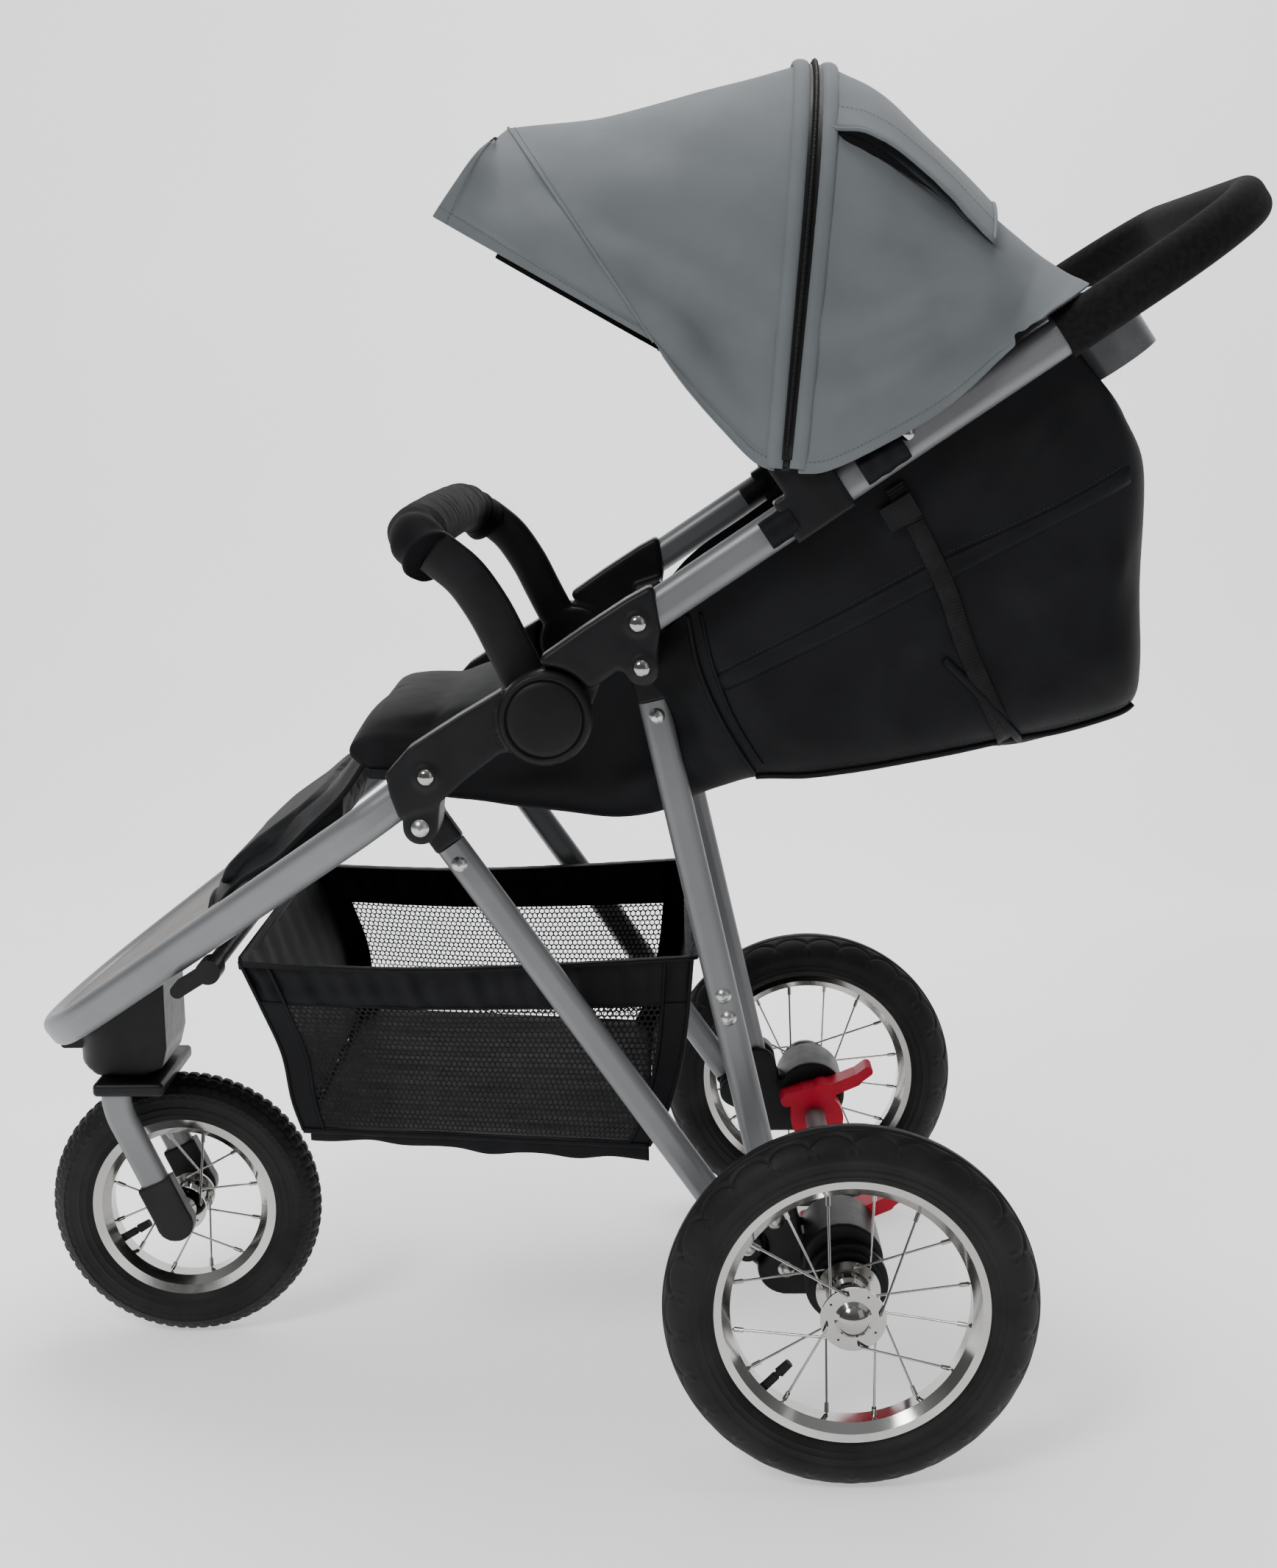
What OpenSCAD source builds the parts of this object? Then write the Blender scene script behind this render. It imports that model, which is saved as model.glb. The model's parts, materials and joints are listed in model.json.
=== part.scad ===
// Three-wheel jogging stroller. Millimetres, +Z up.
// +X points to the rear (push handle), -X is the way it rolls, Y runs across it.
// Side profiles are drawn as [x, z] points and extruded along Y.

/* [Wheels] */
// Diameter of each rear tyre
rear_wheel_d = 300; // [296:1:304]
// Diameter of the front tyre
front_wheel_d = 250; // [246:1:252]
// Distance between the centre planes of the rear tyres
track = 590; // [588:1:596]
// Width of a rear tyre
rear_tyre_w = 49; // [46:1:52]
// Width of the front tyre
front_tyre_w = 44; // [40:1:46]
// Spokes in each rear wheel
rear_spoke_count = 16; // [12:4:16]
// Spokes in the front wheel
front_spoke_count = 12; // [8:4:16]

/* [Frame] */
// Angle of the front frame above the floor
front_slope = 36; // [35.5:0.5:36.5]
// Angle of the handle tubes above the floor
handle_slope = 33.3; // [33:0.1:34]
// Height of the oval main tubes
main_tube_h = 30; // [28:1:31]
// Thickness of the oval main tubes
main_tube_w = 20; // [18:1:20]
// Height of the oval leg tubes
leg_tube_h = 25; // [22:1:26]
// Thickness of the oval leg tubes
leg_tube_w = 16; // [14:1:16]
// Wall of every frame tube
tube_wall = 1.6; // [1.2:0.1:2]

/* [Soft goods] */
// Thickness of the fabric panels
fabric_t = 3; // [2:0.5:4]
// Half width of the basket
basket_half_w = 184; // [170:1:185]
// Angle between the floor and the canopy's front edge
canopy_front_angle = 145; // [140:1:150]

/* [Fits] */
// Radial clearance of a running fit
run_fit = 0.05; // [0.03:0.01:0.08]
// Gap between parts that move past each other
side_gap = 0.3; // [0.25:0.05:0.4]

/* [Hidden] */
$fn = 64;

// pivots and axles in the side view, [x, z]
hub = [-46, 618];
upper_pivot = [28.5, 655];
lower_pivot = [-144.5, 533];
bracket_pivot = [109, 167];
rear_axle = [188, rear_wheel_d / 2];
front_axle = [-405, front_wheel_d / 2];
canopy_pivot = [138, 812];
steer_x = -440;

// layers across the frame, distances from the centre plane
tube_y = 255;
rear_leg_y = 190;
front_leg_y = 212;
hub_in_y = 224;          // inner face of the bumper disc
hub_mid_y = 240;         // inner face of the handle frame's disc
hub_out_y = 256;         // inner face of the front frame's disc
hub_end_y = 272;         // outer face of the front frame's disc
housing_in_y = 241;
housing_out_y = 269;
hub_r = 37;
hub_pin_r = 6;

// main tubes: where each one leaves its housing
front_joint = [-167, 550];
handle_joint = [46.5, 703.6];
front_bend = 23;         // how far each front tube turns inwards
front_bend_at = 32;      // distance along the tube from the housing to that bend
nose_r = 135;
front_bend_r = 100;
nose_vertex = front_bend_at + tube_y / tan(front_bend);
handle_len = 548;        // from the handle joint to the crossbar
handle_corner_r = 110;

// rear wheel
wheel_y = track / 2;
rear_rim_r = 111.8;
front_rim_r = 85.8;
rim_depth = 16;
hub_flange_y = 26;       // flange planes either side of the wheel's centre
axle_r = 6;
axle_tube_r = 10;
leg_pin_r = 5;
plug_t = 4.3;            // half thickness of the plug inside each leg tube's end
front_axle_r = 5;
front_flange_y = 19;

// side view line of each leg
rear_leg_top = [36.4, 619.5];
rear_leg_foot = [137, 166];
front_leg_top = [-127, 507.7];
front_leg_foot = [101, 178.6];

// ---------- shared helpers ----------

function unit(v) = v / norm(v);
function heading(v) = atan2(v[1], v[0]);
// turn at point i of a flat path, positive to the left, between -180 and 180
function turn(p, i) =
    let (t = heading(p[i + 1] - p[i]) - heading(p[i] - p[i - 1]))
    t > 180 ? t - 360 : t < -180 ? t + 360 : t;
// hairline seam between the straight and the bent lengths of a tube
function seam(p, i) = i == 0 || i == len(p) - 1 || abs(abs(turn(p, i)) - 90) < 0.01 ? 0 : 0.02;
function setback(p, r, i) = i == 0 || i == len(p) - 1 ? 0 : r[i - 1] * tan(abs(turn(p, i)) / 2);

// an oval (stadium) section, w across and h high
module oval(w, h) {
    square([w, h - w], center = true);
    for (s = [-1, 1]) translate([0, s * (h - w) / 2]) circle(d = w);
}

module oval_tube(w, h, wall) {
    difference() {
        oval(w, h);
        oval(w - 2 * wall, h - 2 * wall);
    }
}

// sweeps its 2D child along a flat path with rounded corners of radius r[i]
module sweep_path(p, r) {
    for (i = [0 : len(p) - 2]) {
        d = unit(p[i + 1] - p[i]);
        a = setback(p, r, i) + seam(p, i);
        b = setback(p, r, i + 1) + seam(p, i + 1);
        translate(p[i] + d * a) rotate(heading(d)) rotate([90, 0, 90])
            linear_extrude(norm(p[i + 1] - p[i]) - a - b) children();
    }
    for (i = [1 : len(p) - 2]) {
        t = turn(p, i);
        d = unit(p[i] - p[i - 1]);
        start = p[i] - d * setback(p, r, i);
        side = t > 0 ? 1 : -1;
        centre = start + side * r[i - 1] * [-d[1], d[0]];
        translate(centre) rotate(heading(d) - side * 90 + min(t, 0))
            rotate_extrude(angle = abs(t)) translate([r[i - 1], 0]) children();
    }
}

// extrudes a side profile between two distances from the centre plane
module slab(y0, y1) {
    translate([0, y1, 0]) rotate([90, 0, 0]) linear_extrude(y1 - y0) children();
}

// a cylinder across the stroller
module cross_pin(p, r, y0, y1) {
    slab(y0, y1) translate(p) circle(r);
}

module both_sides() {
    children();
    mirror([0, 1, 0]) children();
}

module on_side(s) {
    mirror([0, s < 0 ? 1 : 0, 0]) children();
}

// a bar with round ends in a side profile, a hair slimmer than its ends so that they meet cleanly
module link(p, q, w) {
    bar_w = w - 0.06;
    translate(p) rotate(heading(q - p)) translate([0, -bar_w / 2]) square([norm(q - p), bar_w]);
    translate(p) circle(d = w);
    translate(q) circle(d = w);
}

// puts flat work on a sloping plane: local X climbs to the rear, local Z is its normal
module on_slope(p, angle) {
    translate([p[0], 0, p[1]]) rotate([0, -angle, 0]) children();
}

function slope_point(p, angle, along, up) =
    p + along * [cos(angle), sin(angle)] + up * [-sin(angle), cos(angle)];

// a rod between two points in space
module rod(a, b, r) {
    v = b - a;
    translate(a) rotate([0, acos(v[2] / norm(v)), atan2(v[1], v[0])]) cylinder(r = r, h = norm(v), $fn = 24);
}

// a bolt head: a low dome whose flat side is at y, facing outwards
module bolt_head(p, y, r) {
    dome = r * 0.5;
    ball = (r * r + dome * dome) / (2 * dome);
    translate([p[0], y, p[1]]) rotate([-90, 0, 0]) intersection() {
        cylinder(r = r, h = dome);
        translate([0, 0, dome - ball]) sphere(ball);
    }
}

// a closed shell between two grids of points with the same rows and columns
module skin(outer, inner) {
    rows = len(outer);
    cols = len(outer[0]);
    n = rows * cols;
    pts = concat([for (r = outer) each r], [for (r = inner) each r]);
    faces = concat(
        [for (i = [0 : rows - 2], j = [0 : cols - 2])
            [i * cols + j, i * cols + j + 1, (i + 1) * cols + j + 1, (i + 1) * cols + j]],
        [for (i = [0 : rows - 2], j = [0 : cols - 2])
            [n + (i + 1) * cols + j, n + (i + 1) * cols + j + 1, n + i * cols + j + 1, n + i * cols + j]],
        [for (j = [0 : cols - 2]) [j + 1, j, n + j, n + j + 1]],
        [for (j = [0 : cols - 2])
            [(rows - 1) * cols + j, (rows - 1) * cols + j + 1,
             n + (rows - 1) * cols + j + 1, n + (rows - 1) * cols + j]],
        [for (i = [0 : rows - 2]) [i * cols, (i + 1) * cols, n + (i + 1) * cols, n + i * cols]],
        [for (i = [0 : rows - 2])
            [(i + 1) * cols + cols - 1, i * cols + cols - 1, n + i * cols + cols - 1, n + (i + 1) * cols + cols - 1]]
    );
    polyhedron(points = pts, faces = faces, convexity = 6);
}

// ---------- wheels ----------

// puts wheel work, drawn round the Z axis, on an axle across the stroller
module at_wheel(axle, y) {
    translate([axle[0], y, axle[1]]) rotate([90, 0, 0]) children();
}

module tyre(d, w, rim_r) {
    section_h = d / 2 - rim_r;
    half_flat = w / 2 - section_h / 2;
    carcass = 4;
    mid_r = (d / 2 + rim_r) / 2;
    color("#1b1c1e") rotate_extrude() difference() {
        union() {
            translate([mid_r, 0]) oval(section_h, section_h + 2 * half_flat);
            translate([rim_r - 7, -13]) square([section_h / 2 + 7, 26]);
        }
        translate([mid_r, 0]) oval(section_h - 2 * carcass, section_h + 2 * half_flat - 2 * carcass);
        translate([rim_r - 8, -9]) square([section_h / 2, 18]);
    }
}

module rim(rim_r) {
    wall = 1.8;
    lip_w = 17;
    base_w = 10;
    color("#d9dadb") rotate_extrude() polygon([
        [rim_r, -lip_w], [rim_r, -lip_w + wall], [rim_r - 7.5, -lip_w + wall + 1.9], [rim_r - 8.5, -base_w],
        [rim_r - rim_depth + wall, -base_w + 3], [rim_r - rim_depth + wall, base_w - 3],
        [rim_r - 8.5, base_w], [rim_r - 7.5, lip_w - wall - 1.9], [rim_r, lip_w - wall], [rim_r, lip_w],
        [rim_r - 9, lip_w - 2], [rim_r - rim_depth, base_w - 2], [rim_r - rim_depth, -base_w + 2],
        [rim_r - 9, -lip_w + 2]
    ]);
}

// crossed lacing: each spoke meets the rim a fixed angle away from its hole in the flange
module spokes(count, rim_r, hole_r, flange_y) {
    wire_r = 1;
    per_flange = count / 2;
    lace = 360 / per_flange;
    rim_in = rim_r - rim_depth;
    color("#cfd0d2") for (i = [0 : count - 1]) {
        side = i % 2 == 0 ? 1 : -1;
        pair = floor(i / 2) % 2 == 0 ? 1 : -1;
        a_rim = (i + 0.5) * 360 / count;
        a_hub = a_rim + pair * lace;
        // paired spokes pass on either face of the flange, so crossing wires do not meet
        offset = pair > 0 ? -2.6 : 5.4;
        y_hub = side * (flange_y + offset);
        from = [hole_r * cos(a_hub), hole_r * sin(a_hub), y_hub];
        to = [(rim_in - 0.3) * cos(a_rim), (rim_in - 0.3) * sin(a_rim), side * 2.5];
        rod(from, to, wire_r);
        rod(to + unit(from - to) * 9, to + unit(from - to) * 1.4, 1.9);
        // the elbow that hooks through the flange
        translate([from[0], from[1], side * (flange_y + (offset > 0 ? 1.7 : -0.3))])
            cylinder(r = wire_r, h = offset > 0 ? 9.4 : 6.6, center = true, $fn = 24);
    }
}

// hub shell with two drilled flanges, bored for its axle
module hub_shell(bore_r, flange_r, flange_y, hole_r, holes, barrel_r) {
    flange_t = 2.4;
    color("#d4d5d6") difference() {
        rotate_extrude() polygon([
            [bore_r, -flange_y - 4], [barrel_r - 4, -flange_y - 4], [barrel_r, -flange_y - flange_t / 2],
            [flange_r, -flange_y - flange_t / 2], [flange_r, -flange_y + flange_t / 2],
            [barrel_r + 3, -flange_y + flange_t / 2], [barrel_r, -flange_y + 7], [barrel_r - 3, -flange_y + 9],
            [barrel_r - 3, flange_y - 9], [barrel_r, flange_y - 7], [barrel_r + 3, flange_y - flange_t / 2],
            [flange_r, flange_y - flange_t / 2], [flange_r, flange_y + flange_t / 2],
            [barrel_r, flange_y + flange_t / 2], [barrel_r - 4, flange_y + 4], [bore_r, flange_y + 4]
        ]);
        for (i = [0 : holes - 1], s = [-1, 1]) {
            a = (i + (s > 0 ? 0.25 : 0.75)) * 360 / holes;
            rotate(a) translate([hole_r, 0, s * flange_y - 3]) cylinder(r = 1.15, h = 6, $fn = 24);
        }
    }
}

// rubber valve stem with its dust cap, pointing from the rim to the hub
module valve(rim_r, angle) {
    base = rim_r - rim_depth - 0.3;
    color("#202124") rotate(angle) translate([base, 0, 0]) rotate([0, -90, 0]) {
        cylinder(r = 3.6, h = 12);
        translate([0, 0, 12]) cylinder(r = 2.6, h = 3);
        translate([0, 0, 15]) cylinder(r1 = 4.2, r2 = 3.6, h = 12);
    }
}

REAR_HOLE_R = 21;
FRONT_HOLE_R = 17;

module rear_tyre(s) { at_wheel(rear_axle, s * wheel_y) tyre(rear_wheel_d, rear_tyre_w, rear_rim_r); }

module rear_rim(s) { at_wheel(rear_axle, s * wheel_y) rim(rear_rim_r); }

module rear_spokes(s) {
    at_wheel(rear_axle, s * wheel_y) spokes(rear_spoke_count, rear_rim_r, REAR_HOLE_R, hub_flange_y);
}

// the hub carries a domed dust cap on its outer end
module rear_hub(s) {
    cap_r = 12;
    at_wheel(rear_axle, s * wheel_y)
        hub_shell(axle_r + run_fit, 26, hub_flange_y, REAR_HOLE_R, rear_spoke_count / 2, 15);
    color("#c9cacb") on_side(s) translate([rear_axle[0], wheel_y + hub_flange_y + 4.2, rear_axle[1]])
        rotate([-90, 0, 0]) intersection() {
            cylinder(r = cap_r, h = 6);
            translate([0, 0, -11]) sphere(17);
        }
}

module rear_valve(s) { at_wheel(rear_axle, s * wheel_y) valve(rear_rim_r, 225); }

module front_tyre() { at_wheel(front_axle, 0) tyre(front_wheel_d, front_tyre_w, front_rim_r); }

module front_rim() { at_wheel(front_axle, 0) rim(front_rim_r); }

module front_spokes() {
    at_wheel(front_axle, 0) spokes(front_spoke_count, front_rim_r, FRONT_HOLE_R, front_flange_y);
}

module front_hub() {
    at_wheel(front_axle, 0)
        hub_shell(front_axle_r + run_fit, 21, front_flange_y, FRONT_HOLE_R, front_spoke_count / 2, 12);
}

module front_valve() { at_wheel(front_axle, 0) valve(front_rim_r, 210); }

// ---------- rear frame ----------

// a bar with square ends in a side profile
module link_bar(p, q, w) {
    translate(p) rotate(heading(q - p)) translate([0, -w / 2]) square([norm(q - p), w]);
}

// an oval tube between two side-view points, centred at distance y
module leg(top, foot, y) {
    d = foot - top;
    translate([top[0], y, top[1]]) rotate([0, -heading(d), 0]) rotate([90, 0, 90])
        linear_extrude(norm(d)) oval_tube(leg_tube_w, leg_tube_h, tube_wall);
}

module rear_legs() {
    color("#9a9c9e") both_sides() leg(rear_leg_top, rear_leg_foot, rear_leg_y);
}

// moulded fitting on top of each rear leg, bored for the upper pivot
module rear_leg_caps() {
    d = unit(rear_leg_foot - rear_leg_top);
    color("#222326") both_sides() difference() {
        union() {
            slab(rear_leg_y - 8, rear_leg_y + 8) {
                translate(upper_pivot) circle(14);
                link_bar(upper_pivot, rear_leg_top - d * 0.1, 25);
            }
            slab(rear_leg_y - plug_t, rear_leg_y + plug_t) link_bar(rear_leg_top - d, rear_leg_top + d * 40, 18);
        }
        cross_pin(upper_pivot, leg_pin_r + run_fit, rear_leg_y - 9, rear_leg_y + 9);
    }
}

// side plates that tie a rear leg to the axle tube
bracket_top = [133, 196];
bracket_mid = [141, 150];
plate_out_y = rear_leg_y + 13.6;   // outer face of the plate between the rear and the front leg

module bracket_profile() {
    link(bracket_top, bracket_mid, 34);
    link(bracket_pivot, bracket_mid, 30);
    link(bracket_mid, rear_axle + [-4, 0], 48);
    translate(rear_axle + [-2, 14]) circle(33);
}

// the outer cheek stops short of the front leg
module bracket_cheek() {
    difference() {
        union() {
            link(bracket_top, bracket_mid, 34);
            link(bracket_mid, rear_axle + [-4, 0], 48);
        }
        translate(bracket_pivot) circle(18);
        translate(bracket_pivot) rotate(heading(front_leg_top - front_leg_foot) - 90) translate([-18, 0])
            square([34, 60]);
    }
}

module rear_brackets() {
    in_y = rear_leg_y - 8.4;
    out_y = front_leg_y + 8;
    color("#202124") both_sides() difference() {
        union() {
            // plates on both faces of the rear leg, the cheek, and the block round the axle
            slab(rear_leg_y + 8.4, plate_out_y) bracket_profile();
            slab(plate_out_y, out_y) bracket_cheek();
            slab(in_y - 5, in_y) bracket_profile();
            slab(in_y, 244) translate(rear_axle + [-2, 14]) circle(33);
        }
        cross_pin(rear_axle, axle_tube_r + 0.1, 170, 232);
        cross_pin(rear_axle, axle_r + 0.1, 230, 250);
        cross_pin(bracket_pivot, leg_pin_r, rear_leg_y + 8, out_y + 1);
    }
}

module axle_tube() {
    color("#a3a5a7") difference() {
        cross_pin(rear_axle, axle_tube_r, -231, 231);
        cross_pin(rear_axle, 8.2, -232, 232);
    }
}

// stub axle that carries each rear wheel
module wheel_axles() {
    color("#b9babc") both_sides() {
        cross_pin(rear_axle, axle_r, 212, wheel_y + hub_flange_y + 4);
        cross_pin(rear_axle, 8.1, 200, 229);
        cross_pin(rear_axle, 9.5, 261.2, 264.6);
    }
}

// fixed cover over the brake drum, between bracket and hub
module drum_covers() {
    color("#191a1c") both_sides() difference() {
        union() {
            cross_pin(rear_axle, 34, 244.4, 254);
            cross_pin(rear_axle, 29, 254, 261);
        }
        cross_pin(rear_axle, axle_r + 0.1, 240, 265);
        slab(250, 262) translate(rear_axle) difference() {
            circle(25);
            circle(14);
        }
    }
}

// bolts and rivets of the rear frame
module rear_bolts() {
    color("#c8c9ca") both_sides() {
        for (p = [[131.5, 190], [141, 148]]) bolt_head(p, front_leg_y + 8.1, 7);
        for (p = [[39, 608], [90.5, 376], [94.8, 357]]) bolt_head(p, rear_leg_y + 8.1, 6.5);
        bolt_head(bracket_pivot, front_leg_y + 8.6, 7);
        cross_pin(bracket_pivot, leg_pin_r, rear_leg_y + 8.6, front_leg_y + 8.6);
    }
}

// red foot pedal: a rounded body that turns on the axle tube, with a curved pad at the rear
module brake_pedal(s) {
    color("#c1172b") on_side(s) difference() {
        union() {
            slab(150, 174) {
                translate([190, 148]) circle(26);
                link([176, 158], [196, 172], 24);
            }
            slab(150, 176) {
                link([160, 166], [178, 172], 12);
                link([178, 172], [204, 177], 13);
                link([204, 177], [228, 187], 12);
                link([228, 187], [240, 196], 10);
            }
        }
        cross_pin(rear_axle, axle_tube_r + run_fit, 140, 190);
    }
}

// ---------- front legs ----------

module front_legs() {
    color("#9a9c9e") both_sides() leg(front_leg_top, front_leg_foot, front_leg_y);
}

// fittings at both ends of each front leg, bored for their pivots
module front_leg_caps() {
    d = unit(front_leg_foot - front_leg_top);
    color("#222326") both_sides() {
        difference() {
            union() {
                slab(front_leg_y - 8, front_leg_y + 8) {
                    translate(lower_pivot) circle(14);
                    link_bar(lower_pivot, front_leg_top - d * 0.1, 25);
                }
                slab(front_leg_y - plug_t, front_leg_y + plug_t) link_bar(front_leg_top - d, front_leg_top + d * 40, 18);
            }
            cross_pin(lower_pivot, leg_pin_r + run_fit, front_leg_y - 9, front_leg_y + 9);
        }
        difference() {
            union() {
                slab(front_leg_y - 8, front_leg_y + 7.6) {
                    translate(bracket_pivot) circle(13);
                    link_bar(front_leg_foot + d * 0.1, bracket_pivot, 25);
                }
                slab(front_leg_y - plug_t, front_leg_y + plug_t) link_bar(front_leg_foot - d * 40, front_leg_foot + d, 18);
            }
            cross_pin(bracket_pivot, leg_pin_r + run_fit, front_leg_y - 9, front_leg_y + 9);
        }
    }
}

module front_leg_bolts() {
    color("#c8c9ca") both_sides() bolt_head([-120, 493], front_leg_y + 8.1, 6.5);
}

// ---------- front frame ----------

function front_path() = [
    [60, tube_y], [-front_bend_at, tube_y], [-nose_vertex, 0], [-front_bend_at, -tube_y], [60, -tube_y]
];

module front_tube() {
    color("#9a9c9e") on_slope(front_joint, front_slope)
        sweep_path(front_path(), [front_bend_r, nose_r, front_bend_r])
            oval_tube(main_tube_w, main_tube_h, tube_wall);
}

// moulded casting from the front tube to the hub, with an ear for the front leg
module lower_housings() {
    start = slope_point(front_joint, front_slope, 0, 0);
    stop = slope_point(front_joint, front_slope, 106, -4);
    color("#222326") both_sides() difference() {
        union() {
            slab(housing_in_y, housing_out_y) {
                link_bar(start, stop, 40);
                link([-139, 573], [-100, 590], 40);
            }
            slab(hub_out_y, hub_end_y) {
                translate(hub) circle(hub_r);
                link(stop, hub, 34);
            }
            slab(front_leg_y + 8.4, housing_out_y) link([-139, 562], lower_pivot, 28);
        }
        // room for the handle frame's disc, the tube, and the pin
        cross_pin(hub, hub_r + 1.5, housing_in_y - 1, hub_out_y);
        on_slope(front_joint, front_slope) translate([-1, tube_y, 0]) rotate([90, 0, 90])
            linear_extrude(62) oval(main_tube_w + 0.2, main_tube_h + 0.2);
        cross_pin(hub, hub_pin_r, housing_in_y - 1, hub_end_y + 1);
        cross_pin(lower_pivot, leg_pin_r, front_leg_y, housing_out_y + 1);
    }
}

// hub pins, leg pivot pins and the rivets of the front castings
module pivot_pins() {
    color("#c8c9ca") both_sides() {
        cross_pin(hub, hub_pin_r, hub_in_y - 3, hub_end_y);
        cross_pin(hub, 9, hub_in_y - 6, hub_in_y - 0.4);
        cross_pin(lower_pivot, leg_pin_r, front_leg_y - 8, housing_out_y);
        bolt_head(lower_pivot, housing_out_y + 0.1, 7);
        bolt_head([-139, 573], housing_out_y + 0.1, 7);
    }
}

// round covers on the outside of the two hubs
module hub_caps() {
    color("#1b1c1e") both_sides() {
        cross_pin(hub, 31, hub_end_y + 0.1, hub_end_y + 4);
        cross_pin(hub, 29, hub_end_y + 4, hub_end_y + 5.5);
    }
}

// plate that fills the nose of the front tube, just below its top
module footrest() {
    plate_end = -185;
    half_at_end = (nose_vertex + plate_end) * tan(front_bend) - 11 / cos(front_bend);
    nose_centre = -(nose_vertex - nose_r / sin(front_bend));
    half_at_nose = (nose_vertex + nose_centre - 48.7) * tan(front_bend) - 11 / cos(front_bend);
    color("#4d4844") on_slope(front_joint, front_slope) translate([0, 0, 5]) linear_extrude(5) {
        translate([nose_centre, 0]) circle(nose_r - 11);
        polygon([
            [plate_end, half_at_end], [nose_centre - 48.7, half_at_nose],
            [nose_centre - 48.7, -half_at_nose], [plate_end, -half_at_end]
        ]);
    }
}

function under_tube(x) = front_joint[1] + (x - front_joint[0]) * tan(front_slope)
    - (main_tube_h / 2 + side_gap) / cos(front_slope);

lock_pivot = [-486, 281];

// moulded steering head under the nose, bored for the fork's stem
module fork_housing() {
    front_x = -494;
    back_x = -408;
    half_w = 40;
    color("#1f2022") difference() {
        union() {
            intersection() {
                slab(-half_w, half_w) polygon([
                    [front_x, 268], [-474, 259], [-428, 259], [-413, 266], [back_x, 284],
                    [back_x, under_tube(back_x)], [front_x, under_tube(front_x)]
                ]);
                linear_extrude(500) {
                    translate([front_x + half_w, 0]) circle(half_w);
                    translate([front_x + half_w, -half_w]) square([60, 2 * half_w]);
                }
            }
            on_slope(front_joint, front_slope) translate([-396, -30, -17]) cube([60, 60, 21.8]);
        }
        translate([steer_x, 0, 250]) cylinder(r = 9 + run_fit, h = 52);
        slab(-12.3, 12.3) {
            translate(lock_pivot) circle(6);
            translate(lock_pivot + [-34, -24]) square([34, 31]);
        }
        cross_pin(lock_pivot, 2 + run_fit, -16.3, 16.3);
    }
}

// lever at the front of the steering head that locks the swivel
module swivel_lock() {
    color("#17181a") {
        slab(-12, 12) link(lock_pivot, lock_pivot - [22, 0], 7);
        cross_pin(lock_pivot, 2, -16, 16);
    }
}

// cross bar with two clips that carries the front of the basket
module basket_mount() {
    at = slope_point(front_joint, front_slope, -228, -27);
    color("#1d1e20") {
        cross_pin(at, 7, -176, 176);
        both_sides() slab(158, 180) {
            translate(at) circle(10.5);
            link(at, at + [-26, -16], 12);
        }
    }
}

// ---------- soft goods on the front frame ----------

basket_side = [[-305, 408], [-284, 330], [-266, 262], [-250, 240], [20, 232], [33, 246], [66, 408]];
basket_hollow = [[-301, 409], [-280.5, 331], [-262.5, 264], [-248, 243.5], [18.5, 235.5], [29.5, 247], [62.5, 409]];

// open fabric basket slung between the legs
module basket() {
    color("#17181b") difference() {
        slab(-basket_half_w, basket_half_w) polygon(basket_side);
        slab(-basket_half_w + fabric_t, basket_half_w - fabric_t) polygon(basket_hollow);
    }
}

module seat_board() {
    color("#2a2a2c") slab(-164, 164) link([-196, 557], [30, 541], 8);
}

// seat cushion with a thick rolled front edge
module seat_pad() {
    color("#1a1b1e") slab(-168, 168) polygon([
        [-199, 562], [-213, 571], [-221, 582], [-224, 594], [-220, 607], [-210, 618], [-195, 625],
        [-176, 627.5], [-130, 626], [-92, 615], [40, 588], [42, 552], [30, 547]
    ]);
}

// padded flap from the seat's front edge down to the footrest
module calf_rest() {
    color("#1a1b1e") slab(-118, 118) polygon([
        [-226, 540], [-246, 531], [-270, 511], [-304, 487], [-341, 454], [-335, 449], [-300, 470],
        [-262, 490], [-226, 512]
    ]);
}

// crotch strap and two waist straps, lying on the cushion
module lap_belt() {
    t = 2;
    color("#141518") {
        slab(-12.5, 12.5) polygon([
            [-96, 616.6], [-58, 608.8], [-58, 608.8 + t], [-96, 616.6 + t]
        ]);
        both_sides() slab(27, 166) polygon([
            [-56, 608.4], [-31, 603.3], [-31, 603.3 + t], [-56, 608.4 + t]
        ]);
    }
}

buckle_at = [-44, 607];

module buckle() {
    color("#1c1d1f") difference() {
        translate([buckle_at[0], 0, buckle_at[1]]) rotate([0, 11.6, 0]) translate([-12, -26, 0.6]) cube([26, 52, 13]);
        translate([buckle_at[0], 0, buckle_at[1]]) rotate([0, 11.6, 0]) translate([0, 0, 5]) cylinder(r = 7.2, h = 20);
    }
}

module buckle_button() {
    color("#b3202c") translate([buckle_at[0], 0, buckle_at[1]]) rotate([0, 11.6, 0]) translate([0, 0, 8.5])
        cylinder(r = 7, h = 6.5);
}

// ---------- fork ----------

fork_leg_y = 49.5;
fork_top = [-453, 257.5];
fork_knee = [-453, 232];

// crown, stem and two bent blades, welded as one
module fork() {
    d = unit(front_axle - fork_knee);
    color("#9a9c9e") {
        translate([steer_x, 0, 252]) cylinder(r = 9, h = 48);
        translate([-468, -56, 252]) cube([56, 112, 5.5]);
        both_sides() translate([0, fork_leg_y, 0]) rotate([90, 0, 0])
            sweep_path([fork_top, fork_knee, front_axle - d * 26], [70]) oval_flat(13, 27);
    }
}

// an oval lying along the path's own plane
module oval_flat(w, h) {
    rotate(90) oval(w, h);
}

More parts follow.
